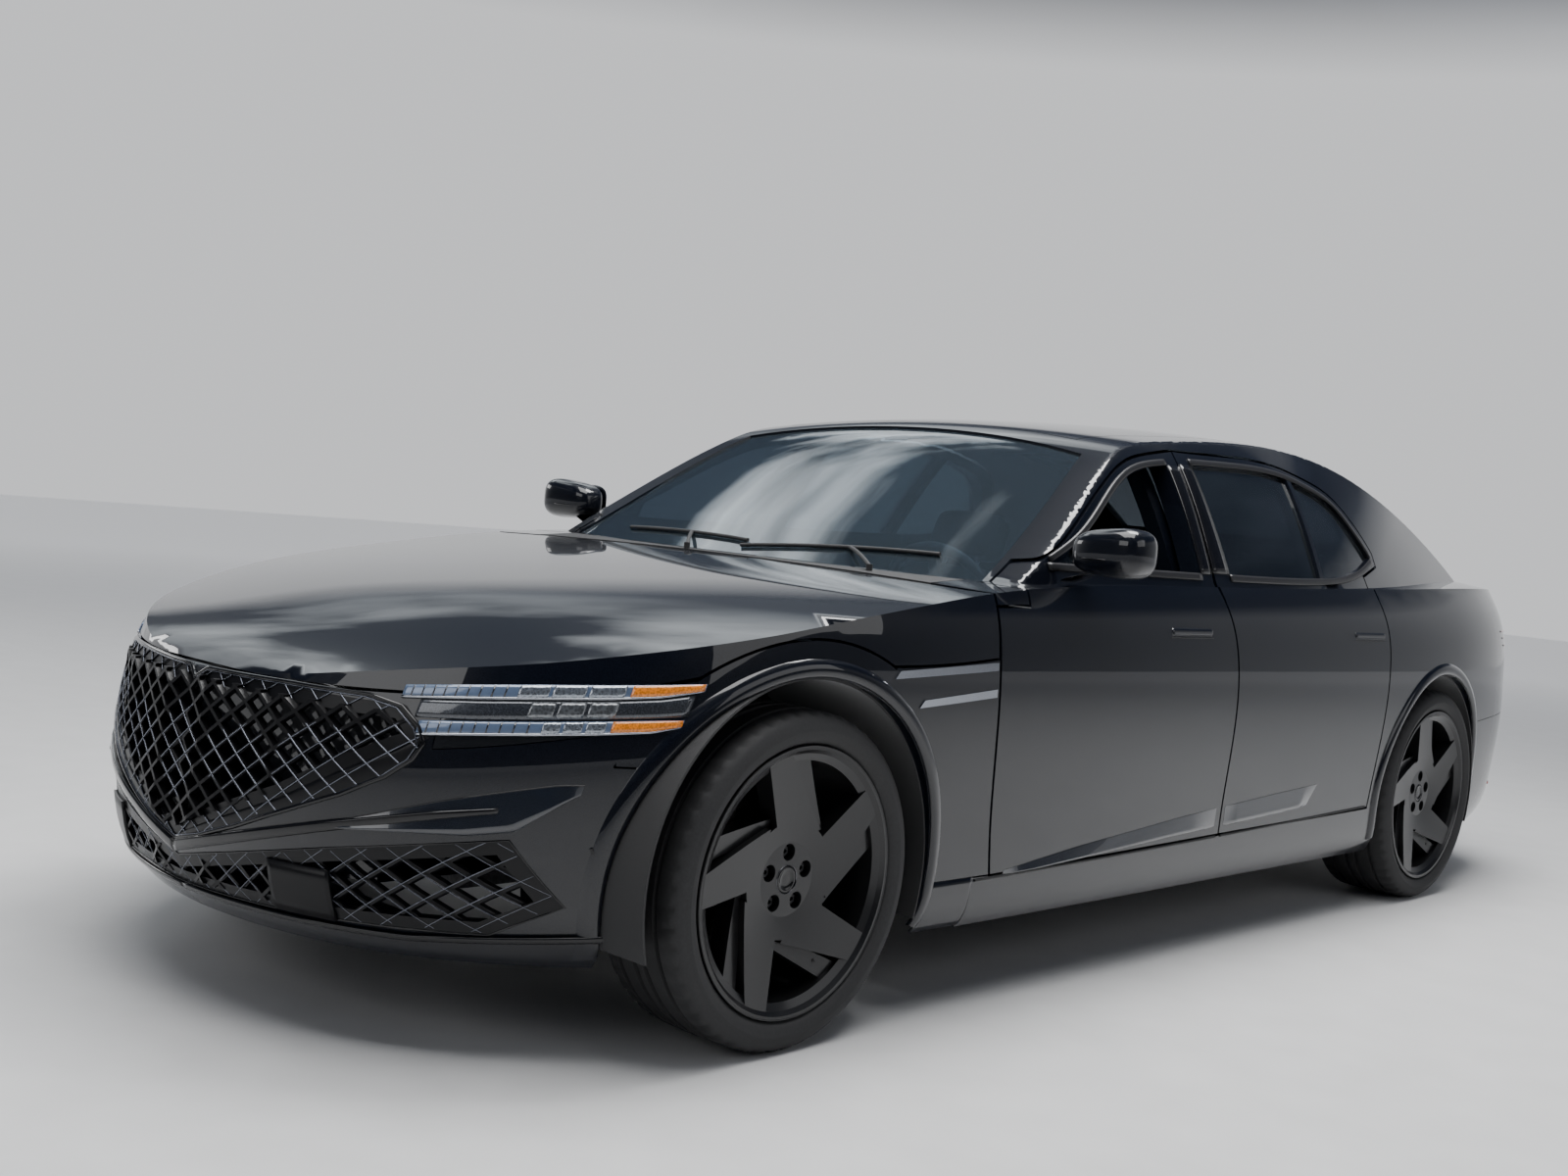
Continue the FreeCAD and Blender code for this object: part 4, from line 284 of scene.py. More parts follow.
screen = material("display_glass", (0.008, 0.01, 0.014), 0.08, 0.0, 1.0, 0.02, 60, 0.0, 0.3, 0.04)
plate_mat = material("blank_plate", (0.3, 0.3, 0.31), 0.4, 0.0, 0.2, 0.1, 500, 0.05, 0.06, 0.08)


def glass_of(name, color, see):
    mat = bpy.data.materials.new(name)
    mat.use_nodes = True
    tree = mat.node_tree
    shader = tree.nodes["Principled BSDF"]
    shader.inputs["Transmission Weight"].default_value = see
    shader.inputs["IOR"].default_value = 1.45
    shader.inputs["Coat Weight"].default_value = 0.6
    where = tree.nodes.new("ShaderNodeTexCoord")
    noise = tree.nodes.new("ShaderNodeTexNoise")
    noise.inputs["Scale"].default_value = 3.0
    tree.links.new(where.outputs["Object"], noise.inputs["Vector"])
    ramp = tree.nodes.new("ShaderNodeValToRGB")
    ramp.color_ramp.elements[0].color = tuple(c * 0.94 for c in color) + (1,)
    ramp.color_ramp.elements[1].color = tuple(color) + (1,)
    tree.links.new(noise.outputs["Fac"], ramp.inputs["Fac"])
    tree.links.new(ramp.outputs["Color"], shader.inputs["Base Color"])
    rough = tree.nodes.new("ShaderNodeMapRange")
    rough.inputs["To Min"].default_value, rough.inputs["To Max"].default_value = 0.0, 0.012
    tree.links.new(noise.outputs["Fac"], rough.inputs["Value"])
    tree.links.new(rough.outputs["Result"], shader.inputs["Roughness"])
    return mat


glass = glass_of("tinted_glass", (0.34, 0.44, 0.52), 0.95)
side_glass = glass_of("dark_side_glass", (0.09, 0.11, 0.13), 0.9)

LOOK = {"windshield": glass, "rear_window": side_glass, "grille": mesh_black, "lower_grille": mesh_black,
        "headlamps": lamp_dark,
        "tail_lamps": red, "cowl_and_wipers": matte, "engine_block": iron, "front_axle_frame": iron,
        "rear_axle_frame": iron, "exhaust": steel, "wheel_liners": carpet, "dashboard": matte,
        "steering_wheel": leather,
        "front_seats": leather, "rear_seat": leather, "fender_strips": bright}
for name, node in nodes.items():
    look = LOOK.get(name)
    if look is None:
        if name.startswith("rim_"):
            look = wheel_black
        elif name.startswith("tyre_"):
            look = rubber
        elif name.startswith("knuckle"):
            look = iron
        elif name.startswith(("glass_", "quarter_")):
            look = side_glass
        else:
            look = paint
    node.data.materials.clear()
    node.data.materials.append(look)


# Smooth normals on painted panels
def joined(name, meshes):
    verts, faces = [], []
    for mesh in meshes:
        start = len(verts)
        verts += [tuple(v.co) for v in mesh.vertices]
        faces += [tuple(start + i for i in p.vertices) for p in mesh.polygons]
    return mesh_of(name, verts, faces)


reference_mesh = joined("smooth_reference", [hull_mesh, top_mesh, house_mesh, roof_mesh])
reference_mesh.shade_smooth()
reference = bpy.data.objects.new("smooth_reference", reference_mesh)
scene.collection.objects.link(reference)
reference.hide_render = True
reference.hide_viewport = True
reference_tree = BVHTree.FromPolygons([v.co for v in reference_mesh.vertices],
                                      [tuple(p.vertices) for p in reference_mesh.polygons])


def smooth_from_reference(node):
    """Takes the panel's shading normals from the smooth surfaces, where the panel lies on them."""
    mesh = node.data
    group = node.vertex_groups.new(name="on_surface")
    chosen = []
    for vertex in mesh.vertices:
        spot, normal, _, distance = reference_tree.find_nearest(vertex.co, 0.0035)
        if spot is not None and abs(normal.dot(vertex.normal)) > 0.75:
            chosen.append(vertex.index)
    if chosen:
        group.add(chosen, 1.0, "REPLACE")
    transfer = node.modifiers.new("smooth normals", "DATA_TRANSFER")
    transfer.object = reference
    transfer.use_object_transform = False
    transfer.use_loop_data = True
    transfer.data_types_loops = {"CUSTOM_NORMAL"}
    transfer.loop_mapping = "POLYINTERP_NEAREST"
    transfer.vertex_group = group.name
    return len(chosen)


for name in ("body_shell", "roof_panel", "fenders", "front_bumper", "rear_bumper", "hood", "boot_lid",
             "door_front_left", "door_front_right", "door_rear_left", "door_rear_right", "headlamps",
             "tail_lamps"):
    smooth_from_reference(nodes[name])


# Small makers
def piece(name, mesh, look, body="body", smooth=True):
    obj = bpy.data.objects.new(name, mesh)
    scene.collection.objects.link(obj)
    mesh.materials.append(look)
    if smooth:
        mesh.shade_smooth()
    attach(obj, body)
    return obj


def resample(points, count):
    pts = np.array(points, float)
    t = chord(pts)
    at = np.linspace(0, 1, count)
    return np.stack([np.interp(at, t, pts[:, k]) for k in range(pts.shape[1])], axis=1)


def band(name, low, high, place, look, body="body", lift=0.0015, thick=0.003, count=40, rows=3):
    """A strip between two lines, laid on a surface and given a thickness into it."""
    low, high = resample(low, count), resample(high, count)
    verts = []
    for i in range(rows + 1):
        share = i / rows
        bulge = lift + 0.0012 * math.sin(math.pi * share)
        for a, b in zip(low, high):
            u, v = a * (1 - share) + b * share
            spot, normal = place(u, v)
            verts.append(spot + normal * bulge)
    mesh = mesh_of(name, verts, grid_faces(rows + 1, count))
    obj = piece(name, mesh, look, body)
    shell = obj.modifiers.new("thickness", "SOLIDIFY")
    shell.thickness = thick
    shell.offset = 0.0
    return obj


def blade(name, low, high, place, look, body, low_lift, high_lift, count=40, rows=8):
    """A panel facet between two lines: proud along its low edge and flush along its high one."""
    low, high = resample(low, count), resample(high, count)
    verts = []
    for i in range(rows + 1):
        share = i / rows
        stand = high_lift + (low_lift - high_lift) * min(1.0, (1 - share) * 1.12) if i else 0.0
        for k, (a, b) in enumerate(zip(low, high)):
            ends = min(1.0, k / 6, (count - 1 - k) / 6)
            u, v = a * (1 - share) + b * share
            spot, normal = place(u, v)
            verts.append(spot + normal * (stand * ends + 0.0004 if i else -0.002))
    return piece(name, mesh_of(name, verts, grid_faces(rows + 1, count)), look, body)


def line(name, points, radius, look, body="body", closed=False):
    """A fine bar along a path of points."""
    curve = bpy.data.curves.new(name, "CURVE")
    curve.dimensions = "3D"
    spline = curve.splines.new("POLY")
    spline.points.add(len(points) - 1)
    for target, point in zip(spline.points, points):
        target.co = (point[0], point[1], point[2], 1)
    spline.use_cyclic_u = closed
    curve.bevel_depth = radius
    curve.bevel_resolution = 3
    obj = bpy.data.objects.new(name, curve)
    scene.collection.objects.link(obj)
    curve.materials.append(look)
    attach(obj, body)
    return obj


def laid(points, place, lift=0.0):
    out = []
    for u, v in points:
        spot, normal = place(u, v)
        out.append(spot + normal * lift)
    return out


def spun(name, profile, look, body, centre, sign=1, count=96, smooth=True):
    """A profile of (x, radius) pairs turned about the X axis at a centre."""
    verts, faces = [], []
    m = len(profile)
    for i in range(count):
        angle = 2 * math.pi * i / count
        for x, r in profile:
            verts.append((centre[0] + sign * x, centre[1] + r * math.sin(angle),
                          centre[2] + r * math.cos(angle)))
    for i in range(count):
        k = (i + 1) % count
        for j in range(m - 1):
            quad = (i * m + j, i * m + j + 1, k * m + j + 1, k * m + j)
            faces.append(quad if sign > 0 else quad[::-1])
    mesh = mesh_of(name, verts, faces)
    return piece(name, mesh, look, body, smooth)


def block(name, low, high, look, body="body", bevel=0.004, turn=None):
    mesh = bpy.data.meshes.new(name)
    shape = bmesh.new()
    bmesh.ops.create_cube(shape, size=1.0)
    low, high = Vector(low), Vector(high)
    for vertex in shape.verts:
        vertex.co = Vector([(low[k] + high[k]) / 2 + vertex.co[k] * (high[k] - low[k]) for k in range(3)])
    bmesh.ops.bevel(shape, geom=shape.edges[:], offset=bevel, segments=3, affect="EDGES", profile=0.5)
    if turn is not None:
        centre, axis, degrees = turn
        bmesh.ops.rotate(shape, verts=shape.verts, cent=Vector(centre),
                         matrix=Matrix.Rotation(math.radians(degrees), 3, axis))
    shape.to_mesh(mesh)
    shape.free()
    return piece(name, mesh, look, body)


def both_sides(make):
    for sign, side in ((1, "left"), (-1, "right")):
        make(sign, side)


# Tyres with grooves, ribs on the sidewall and shoulder blocks
def tyre_piece(where, section, centre, sign):
    half = section / 2
    profile = [(-half * 0.8, 0.2705), (-half * 0.8, 0.286), (-half * 0.88, 0.2885), (-half * 0.94, 0.296),
               (-half * 0.975, 0.305), (-half * 0.995, 0.3145), (-half * 1.0, 0.3175),
               (-half * 0.985, 0.3225),
               (-half * 0.975, 0.331), (-half * 0.945, 0.339), (-half * 0.9, 0.3455), (-half * 0.86, 0.35)]
    ribs = [(-0.8, 0.354), (-0.56, 0.3558), (-0.545, 0.3478), (-0.475, 0.3478), (-0.46, 0.3562),
            (-0.18, 0.3569),
            (-0.165, 0.3487), (-0.085, 0.3487), (-0.07, 0.357)]
    profile += [(half * x, r) for x, r in ribs]
    profile += [(-x, r) for x, r in reversed(profile)]
    count, tread_radius = 216, 0.349
    verts, faces = [], []
    m = len(profile)
    for i in range(count):
        angle = 2 * math.pi * i / count
        for x, r in profile:
            rr = r
            side_share = abs(x) / half
            if i % 4 == 0 and 0.58 < side_share < 0.9 and r > tread_radius:
                rr -= 0.0052
            if i % 6 == 3 and 0.19 < side_share < 0.44 and r > tread_radius:
                rr -= 0.0045
            if i % 3 == 0 and 0.955 < side_share and 0.335 > r > 0.327:
                rr -= 0.0006
            verts.append((centre[0] + sign * x, centre[1] + rr * math.sin(angle),
                          centre[2] + rr * math.cos(angle)))
    for i in range(count):
        k = (i + 1) % count
        for j in range(m - 1):
            quad = (i * m + j, i * m + j + 1, k * m + j + 1, k * m + j)
            faces.append(quad if sign > 0 else quad[::-1])
        quad = (i * m + m - 1, i * m, k * m, k * m + m - 1)
        faces.append(quad if sign > 0 else quad[::-1])
    mesh = mesh_of("tread_" + where, verts, faces)
    obj = piece("tread_" + where, mesh, rubber, "wheel_" + where, smooth=True)
    mesh.set_sharp_from_angle(angle=math.radians(38))
    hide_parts("tyre_" + where)


def bolt(name, x, centre, sign, radius_at, degrees, look, body, size, deep):
    y = centre[1] + radius_at * math.sin(math.radians(degrees))
    z = centre[2] + radius_at * math.cos(math.radians(degrees))
    profile = [(x - deep, size * 0.98), (x - size * 0.15, size), (x, size * 0.82), (x, size * 0.45),
               (x - size * 0.5, size * 0.4),
               (x - size * 0.5, 0.0)]
    spun(name, profile, look, body, (centre[0], y, z), sign, 6 if size > 0.006 else 16,
         smooth=False)


WHEELS = (("front_left", FRONT_HALF_TRACK, FRONT_AXLE, FRONT_SECTION),
          ("front_right", -FRONT_HALF_TRACK, FRONT_AXLE, FRONT_SECTION),
          ("rear_left", REAR_HALF_TRACK, REAR_AXLE, REAR_SECTION),
          ("rear_right", -REAR_HALF_TRACK, REAR_AXLE, REAR_SECTION))
for where, half_track, axle, section in WHEELS:
    sign = 1 if half_track > 0 else -1
    centre = (half_track, axle, HUB)
    body = "wheel_" + where
    tyre_piece(where, section, centre, sign)
    face = section / 2 - RIM_INSET - 0.0085 - 0.026
    for index in range(LUG_COUNT):
        bolt("lug_%s_%d" % (where, index), face - 0.012, centre, sign, LUG_CIRCLE, 360 / LUG_COUNT * index,
             satin, body, 0.0125, 0.022)
    spun("cap_" + where, [(face - 0.008, 0.0295), (face - 0.002, 0.0285), (face + 0.0005, 0.0265),
                          (face + 0.0002, 0.022),
                          (face - 0.0015, 0.02), (face - 0.0012, 0.01), (face - 0.001, 0.0)],
         gloss, body, centre, sign, 64)
    spun("cap_ring_" + where, [(face - 0.004, 0.0315), (face + 0.0008, 0.0312), (face + 0.0014, 0.0302),
                               (face - 0.002, 0.0295)], dark_bright, body, centre, sign, 64)
    rim_edge = section / 2 - RIM_INSET
    spun("rim_edge_" + where, [(rim_edge - 0.01, 0.2852), (rim_edge - 0.002, 0.2862),
                               (rim_edge + 0.0006, 0.285),
                               (rim_edge + 0.0004, 0.2825), (rim_edge - 0.006, 0.279),
                               (rim_edge - 0.014, 0.2765)],
         wheel_black, body, centre, sign, 128)
    bolt("valve_" + where, face + 0.004, centre, sign, 0.212, 150, matte, body, 0.0045, 0.03)
    disc_x = -0.008
    spun("disc_face_" + where, [(disc_x + 0.0008, 0.183), (disc_x + 0.0012, 0.1825), (disc_x + 0.0012, 0.1),
                                (disc_x + 0.0002, 0.098)], steel, body, centre, sign, 96)


# Window surround, pillars and trims
def smooth_line(pairs, count):
    pts = np.array([(y * HL, z * HT) for y, z in pairs], float)
    return cubic(chord(pts), pts, np.linspace(0, 1, count)) if len(pts) > 2 else resample(pts, count)


FRONT_WINDOW_TOP = ((-0.312, 0.7035), (-0.25, 0.752), (-0.171, 0.836), (-0.125, 0.873), (-0.08, 0.891),
                    (-0.044, 0.899))
REAR_WINDOW_TOP = ((0.009, 0.907), (0.11, 0.914), (0.24, 0.909), (0.3, 0.89), (0.34, 0.866), (0.374, 0.812),
                   (0.396, 0.762))
REAR_WINDOW_FOOT = ((0.396, 0.762), (0.35, 0.738), (0.28, 0.718), (0.21, 0.711), (0.1, 0.707), (0.0, 0.706))


def offset_line(points, distance):
    """A line in the side view moved to its left by a distance."""
    points = np.array(points, float)
    way = np.gradient(points, axis=0)
    way /= np.linalg.norm(way, axis=1)[:, None]
    return points + np.stack([-way[:, 1], way[:, 0]], axis=1) * distance


def side_trims(sign, side):
    place = on_side(sign, [house_tree])
    front, rear = "door_front_" + side, "door_rear_" + side
    top = smooth_line(FRONT_WINDOW_TOP, 60)
    band("surround_front_" + side, offset_line(top, 0.0015), offset_line(top, 0.0165), place, satin, front,
         0.001, 0.004, 60, 3)
    foot = [(y,
             0.7035 * HT + (0.001 * HT) * (y + 0.31 * HL) / (0.25 * HL)) for y in np.linspace(-0.318 * HL,
                 -0.06 * HL, 30)]
    band("belt_trim_front_" + side, [(y, z - 0.019) for y, z in foot], [(y, z - 0.001) for y, z in foot],
         place, satin, front,
         0.0015, 0.004, 40, 3)
    top = smooth_line(REAR_WINDOW_TOP, 80)
    band("surround_rear_" + side, offset_line(top, 0.0015), offset_line(top, 0.0165), place, satin, rear,
         0.001, 0.004, 80, 3)
    foot = smooth_line(REAR_WINDOW_FOOT, 80)
    band("belt_trim_rear_" + side, offset_line(foot, 0.001), offset_line(foot, 0.019), place, satin, rear,
         0.0015, 0.004, 80, 3)
    low, high = [], []
    for z, y0, y1 in ((0.7035, -0.059, -0.0385), (0.8, -0.051, -0.0285), (0.899, -0.043, -0.019)):
        low.append((y0 * HL, z * HT))
        high.append((y1 * HL, z * HT))
    band("pillar_gloss_front_" + side, low, high, place, gloss, front, 0.0012, 0.004, 20, 4)
    low, high = [], []
    for z, y0, y1 in ((0.706, -0.0345, -0.001), (0.8, -0.0245, 0.003), (0.905, -0.015, 0.008)):
        low.append((y0 * HL, z * HT))
        high.append((y1 * HL, z * HT))
    band("pillar_gloss_rear_" + side, low, high, place, gloss, rear, 0.0012, 0.004, 20, 4)
    place = on_side(sign)
    # Rocker groove shown as a dark matte line of painted shade, and the dark triangular scoop low on the
    # doors
    for name, body, y0, y1, z0, z1 in (("front", front, -1.14, -0.03, 0.304, 0.3235),
                                       ("rear", rear, -0.002, 0.925, 0.324, 0.348)):
        line("rocker_groove_shade_%s_%s" % (name, side), laid([(y0 + (y1 - y0) * k / 30,
                                                          z0 + (z1 - z0) * k / 30) for k in range(31)],
             place, 0.0), 0.0035, matte, body)
    facets = ((front, [(-1.03, 0.318), (-0.725, 0.352), (-0.25, 0.392), (-0.045, 0.405)],
               [(-1.03, 0.306), (-0.725, 0.318), (-0.25, 0.342), (-0.045, 0.348)]),
              (rear, [(0.005, 0.408), (0.3, 0.426), (0.56, 0.44)],
               [(0.005, 0.35), (0.3, 0.362), (0.5, 0.372)]))
    for body, upper, lower in facets:
        blade("facet_" + body, lower, upper, place, facet, body, 0.0075, 0.0008, 50)
    for name, body, y0 in (("front", front, -0.4), ("rear", rear, 0.7)):
        line("handle_shadow_%s_%s" % (name, side), laid([(y0 - 0.004 + 0.223 * k / 12,
                                                          0.8795) for k in range(13)], place, 0.0),
             0.0014, matte, body)


both_sides(side_trims)


# Nose: headlamps, grille edges, blades and sensor plates
# x, then z at the top and the bottom of each line of light
UPPER_LIGHT = ((0.522, 0.718, 0.696), (0.64, 0.733, 0.708), (0.72, 0.743, 0.717), (0.8, 0.752, 0.726),
               (0.85, 0.7585, 0.735), (0.884, 0.764, 0.75))
LOWER_LIGHT = ((0.566, 0.6565, 0.631), (0.65, 0.665, 0.641), (0.73, 0.674, 0.65), (0.8, 0.683, 0.659),
               (0.85, 0.69, 0.667), (0.876, 0.693, 0.68))
# The smoked glass between the two lines
BETWEEN_LIGHTS = ((0.556, 0.696, 0.662), (0.64, 0.704, 0.668), (0.72, 0.713, 0.677), (0.8, 0.722, 0.687),
                  (0.85, 0.731, 0.694), (0.878, 0.742, 0.7))


def light_between(rows, x0, x1, count=30, top_share=0.0, low_share=1.0):
    """Upper and lower edge of a piece of a line of light, between two places across."""
    xs, tops, lows = (np.array([row[k] for row in rows]) for k in range(3))
    at = np.linspace(x0, x1, count)
    top, low = np.interp(at, xs, tops), np.interp(at, xs, lows)
    tall = low - top
    return list(zip(at, top + tall * top_share)), list(zip(at, top + tall * low_share))


def lamps(sign, side):
    def strip(name, rows, x0, x1, look, lift, count=30, top_share=0.0, low_share=1.0, bands=4):
        high, low = light_between(rows, x0, x1, count, top_share, low_share)
        band(name + "_" + side, [(sign * x, z) for x, z in low], [(sign * x, z) for x, z in high], on_nose,
             look, "body",
             lift, 0.004, count, bands)

    for name, rows in (("upper", UPPER_LIGHT), ("lower", LOWER_LIGHT)):
        first, last = rows[0][0], rows[-1][0]
        amber_x, crystal_x = last - 0.066, first + 0.165
        strip("lamp_%s_line" % name, rows, first, last, light_line, 0.001, 60)
        strip("lamp_%s_edge" % name, rows, first, last, bright, 0.0022, 60, 0.93, 1.07, 2)
        for k in range(9):
            x = first + 0.014 + 0.0172 * k
            strip("lamp_%s_rib_%d" % (name, k), rows, x, x + 0.0022, lamp_dark, 0.0026, 4, 0.04, 0.92,
                  1)
        for k in range(3):
            x = crystal_x + 0.004 + k * (amber_x - crystal_x - 0.006) / 3
            strip("lamp_%s_crystal_%d" % (name, k), rows, x, x + (amber_x - crystal_x - 0.006) / 3 - 0.004,
                  crystal, 0.003, 14,
                  0.05, 0.9)
        strip("lamp_%s_amber" % name, rows, amber_x, last - 0.001, amber, 0.003, 16, 0.05, 0.9)
    strip("lamp_between", BETWEEN_LIGHTS, BETWEEN_LIGHTS[0][0], BETWEEN_LIGHTS[-1][0], smoked, 0.0008, 60)
    for k in range(3):
        x = 0.712 + 0.034 * k
        strip("lamp_between_crystal_%d" % k, BETWEEN_LIGHTS, x, x + 0.03, smoked_crystal, 0.0016, 10, 0.1,
              0.9)


both_sides(lamps)


def nose_path(corners, lift=0.0):
    """A closed path round an outline on the nose, from x and z shares of its left half."""
    pts = [(x * HW, z * HT) for x, z in corners]
    ring = pts + [(-x, z) for x, z in reversed(pts[1:-1])]
    ring.append(ring[0])
    out = []
    for (u0, v0), (u1, v1) in zip(ring, ring[1:]):
        n = max(2, int(math.hypot(u1 - u0, v1 - v0) / 0.02))
        out += [(u0 + (u1 - u0) * k / n, v0 + (v1 - v0) * k / n) for k in range(n)]
    return laid(out, on_nose, lift)


LOWER = ((0.0, 0.2), (0.45, 0.264), (0.74, 0.3), (0.8, 0.215), (0.7, 0.172), (0.0, 0.16))
# Outline of the shield as it looks, a little fuller below than the opening
SHIELD = ((0.0, 0.446), (0.035, 0.461), (0.3, 0.464), (0.48, 0.464), (0.548, 0.455), (0.59, 0.432),
          (0.604, 0.413),
          (0.592, 0.392), (0.55, 0.366), (0.47, 0.336), (0.371, 0.308), (0.215, 0.266), (0.09, 0.238),
          (0.0, 0.224))
UNDER = [(0.6, 0.42), (0.592, 0.392), (0.55, 0.366), (0.47, 0.336), (0.371, 0.308), (0.215, 0.266),
         (0.0, 0.224)]
OVER = [(0.6, 0.42), (0.555, 0.399), (0.5, 0.379), (0.43, 0.353), (0.33, 0.316), (0.18, 0.276),
        (0.0, 0.228)]
line("grille_edge", nose_path(SHIELD, lift=0.001), 0.0048, gloss, "body", closed=True)
line("grille_inner_edge", nose_path([(x * 0.985, 0.345 + (z - 0.345) * 0.975) for x, z in SHIELD],
                                    lift=0.002), 0.0016, wire,
     "body", closed=True)
line("lower_grille_edge", nose_path(LOWER, lift=0.0), 0.0022, gloss, "body", closed=True)


def inside(corners, x, z):
    """Whether a place lies in an outline that is the same left and right."""
    x, found = abs(x), False
    for (x0, z0), (x1, z1) in zip(corners, corners[1:] + corners[:1]):
        if (z0 > z) != (z1 > z) and x < (x1 - x0) * (z - z0) / (z1 - z0) + x0:
            found = not found
    return found


def wires(name, corners, middle, look, lift, radius):
    """Fine crossing wires over a leaning lattice, cut off at its outline."""
    corners = [(x * HW, z * HT) for x, z in corners]
    half_wide = 0.033
    half_tall = half_wide / math.tan(math.radians(52))
    span = int(HW / half_wide) * 2
    lines = []
    for lean in (1, -1):
        for k in range(-span + 1 - span % 2, span, 2):
            run = []
            for step in range(-110, 111):
                z = middle + step * 0.0075
                x = half_wide * (k - lean * (z - middle) / half_tall)
                if abs(x) < HW * 0.86 and inside(corners, x, z):
                    run.append((x, z))
                elif run:
                    if len(run) > 2:
                        lines.append(run)
                    run = []
            if len(run) > 2:
                lines.append(run)
    curve = bpy.data.curves.new(name, "CURVE")
    curve.dimensions = "3D"
    for run in lines:
        spline = curve.splines.new("POLY")
        spots = laid(run, on_nose, lift)
        spline.points.add(len(spots) - 1)
        for target, spot in zip(spline.points, spots):
            target.co = (spot[0], spot[1], spot[2], 1)
    curve.bevel_depth = radius
    curve.bevel_resolution = 1
    obj = bpy.data.objects.new(name, curve)
    scene.collection.objects.link(obj)
    curve.materials.append(look)
    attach(obj, "body")


wires("grille_wires", list(SHIELD), (0.228 + 0.461) / 2 * HT, wire, 0.0015, 0.0016)
wires("lower_grille_wires", list(LOWER), (0.16 + 0.3) / 2 * HT, wire, -0.001, 0.0013)
for sign, side in ((1, "left"), (-1, "right")):
    band("grille_skirt_" + side, [(sign * x * HW, z * HT) for x, z in UNDER],
         [(sign * x * HW, z * HT) for x, z in OVER],
         on_nose, mesh_black, "body", 0.0002, 0.0014, 60, 5)
# The V-shaped bar under the grille and the thin lip under the bumper
for sign, side in ((1, "left"), (-1, "right")):
    low = [(0.0, 0.206 * HT), (sign * 0.2, 0.243 * HT), (sign * 0.4, 0.281 * HT), (sign * 0.6, 0.318 * HT),
           (sign * 0.7, 0.336 * HT)]
    high = [(0.0, 0.222 * HT), (sign * 0.2, 0.258 * HT), (sign * 0.4, 0.294 * HT),
            (sign * 0.6, 0.328 * HT), (sign * 0.7, 0.34 * HT)]
    band("chin_blade_" + side, low, high, on_nose, gloss, "body", 0.004, 0.01, 60, 4)
    low = [(0.0, 0.1545 * HT), (sign * 0.55, 0.157 * HT), (sign * 0.8, 0.17 * HT),
           (sign * 0.868, 0.188 * HT)]
    high = [(0.0, 0.1605 * HT), (sign * 0.55, 0.163 * HT), (sign * 0.8, 0.1775 * HT),
            (sign * 0.87, 0.197 * HT)]
    band("lip_" + side, low, high, on_nose, gloss, "body", 0.004, 0.008, 60, 3)
    # Blade scoop at the bumper's corner: a long facet that turns upward
    high = [(0.413, 0.436), (0.515, 0.471), (0.622, 0.511), (0.712, 0.54), (0.77, 0.558), (0.795, 0.56)]
    low = [(0.413, 0.4335), (0.481, 0.437), (0.581, 0.444), (0.66, 0.448), (0.722, 0.462), (0.792, 0.54)]
    blade("corner_scoop_" + side, [(sign * x, z) for x, z in low], [(sign * x, z) for x, z in high],
          on_nose, facet, "body",
          0.013, 0.0008, 50, 8)
    line("corner_scoop_line_" + side, laid([(sign * x, z) for x, z in resample(high, 40)], on_nose, 0.0),
         0.0016, gloss, "body")
    # Blank sensor plates in the lower grille
    low = [(sign * (0.296 + 0.136 * k / 8), 0.25) for k in range(9)]
    high = [(sign * (0.296 + 0.136 * k / 8), 0.35) for k in range(9)]
    band("sensor_plate_" + side, low, high, on_nose, mesh_black, "body", 0.002, 0.01, 16, 4)
    # Slit of the air curtain at the bumper's corner
    line("corner_slit_" + side, laid([(sign * (0.803 + 0.03 * k / 12),
                                       0.44 - 0.13 * k / 12) for k in range(13)], on_nose, 0.0),
         0.0035, matte, "body")


# Raised lips round the wheel arches, and the sill's front end
def arch_lip(sign, side):
    place = on_side(sign)
    for name, axle, radius, first, last in (("front", FRONT_AXLE, 0.4265, -19.0, 199.0),
                                            ("rear", REAR_AXLE, 0.4135, -16.0, 196.0)):
        profile = ((0.0, -0.004), (0.0, 0.005), (0.004, 0.0085), (0.014, 0.01), (0.026, 0.0085),
                   (0.034, 0.004),
                   (0.038, -0.001))
        count = 90
        verts = []
        for grow, lift in profile:
            for k in range(count):
                angle = math.radians(first + (last - first) * k / (count - 1))
                y, z = axle + (radius + grow) * math.cos(angle), HUB + (radius + grow) * math.sin(angle)
                spot, _ = place(y, z)
                verts.append(spot + Vector((sign * lift, 0, 0)))
        name = "arch_lip_%s_%s" % (name, side)
        piece(name, mesh_of(name, verts, grid_faces(len(profile), count)), paint, "body")
    low = [(-1.322 + 0.172 * k / 10, 0.196) for k in range(11)]
    high = [(-1.322 + 0.172 * k / 10, 0.3125) for k in range(11)]
    band("sill_end_" + side, low, high, place, paint, "body", -0.001, 0.006, 24, 8)


both_sides(arch_lip)


# Door mirrors
SQUARE = 0.62


def power(value, exponent):
    """A signed power, that squares up a circle."""
    return math.copysign(abs(value) ** exponent, value)


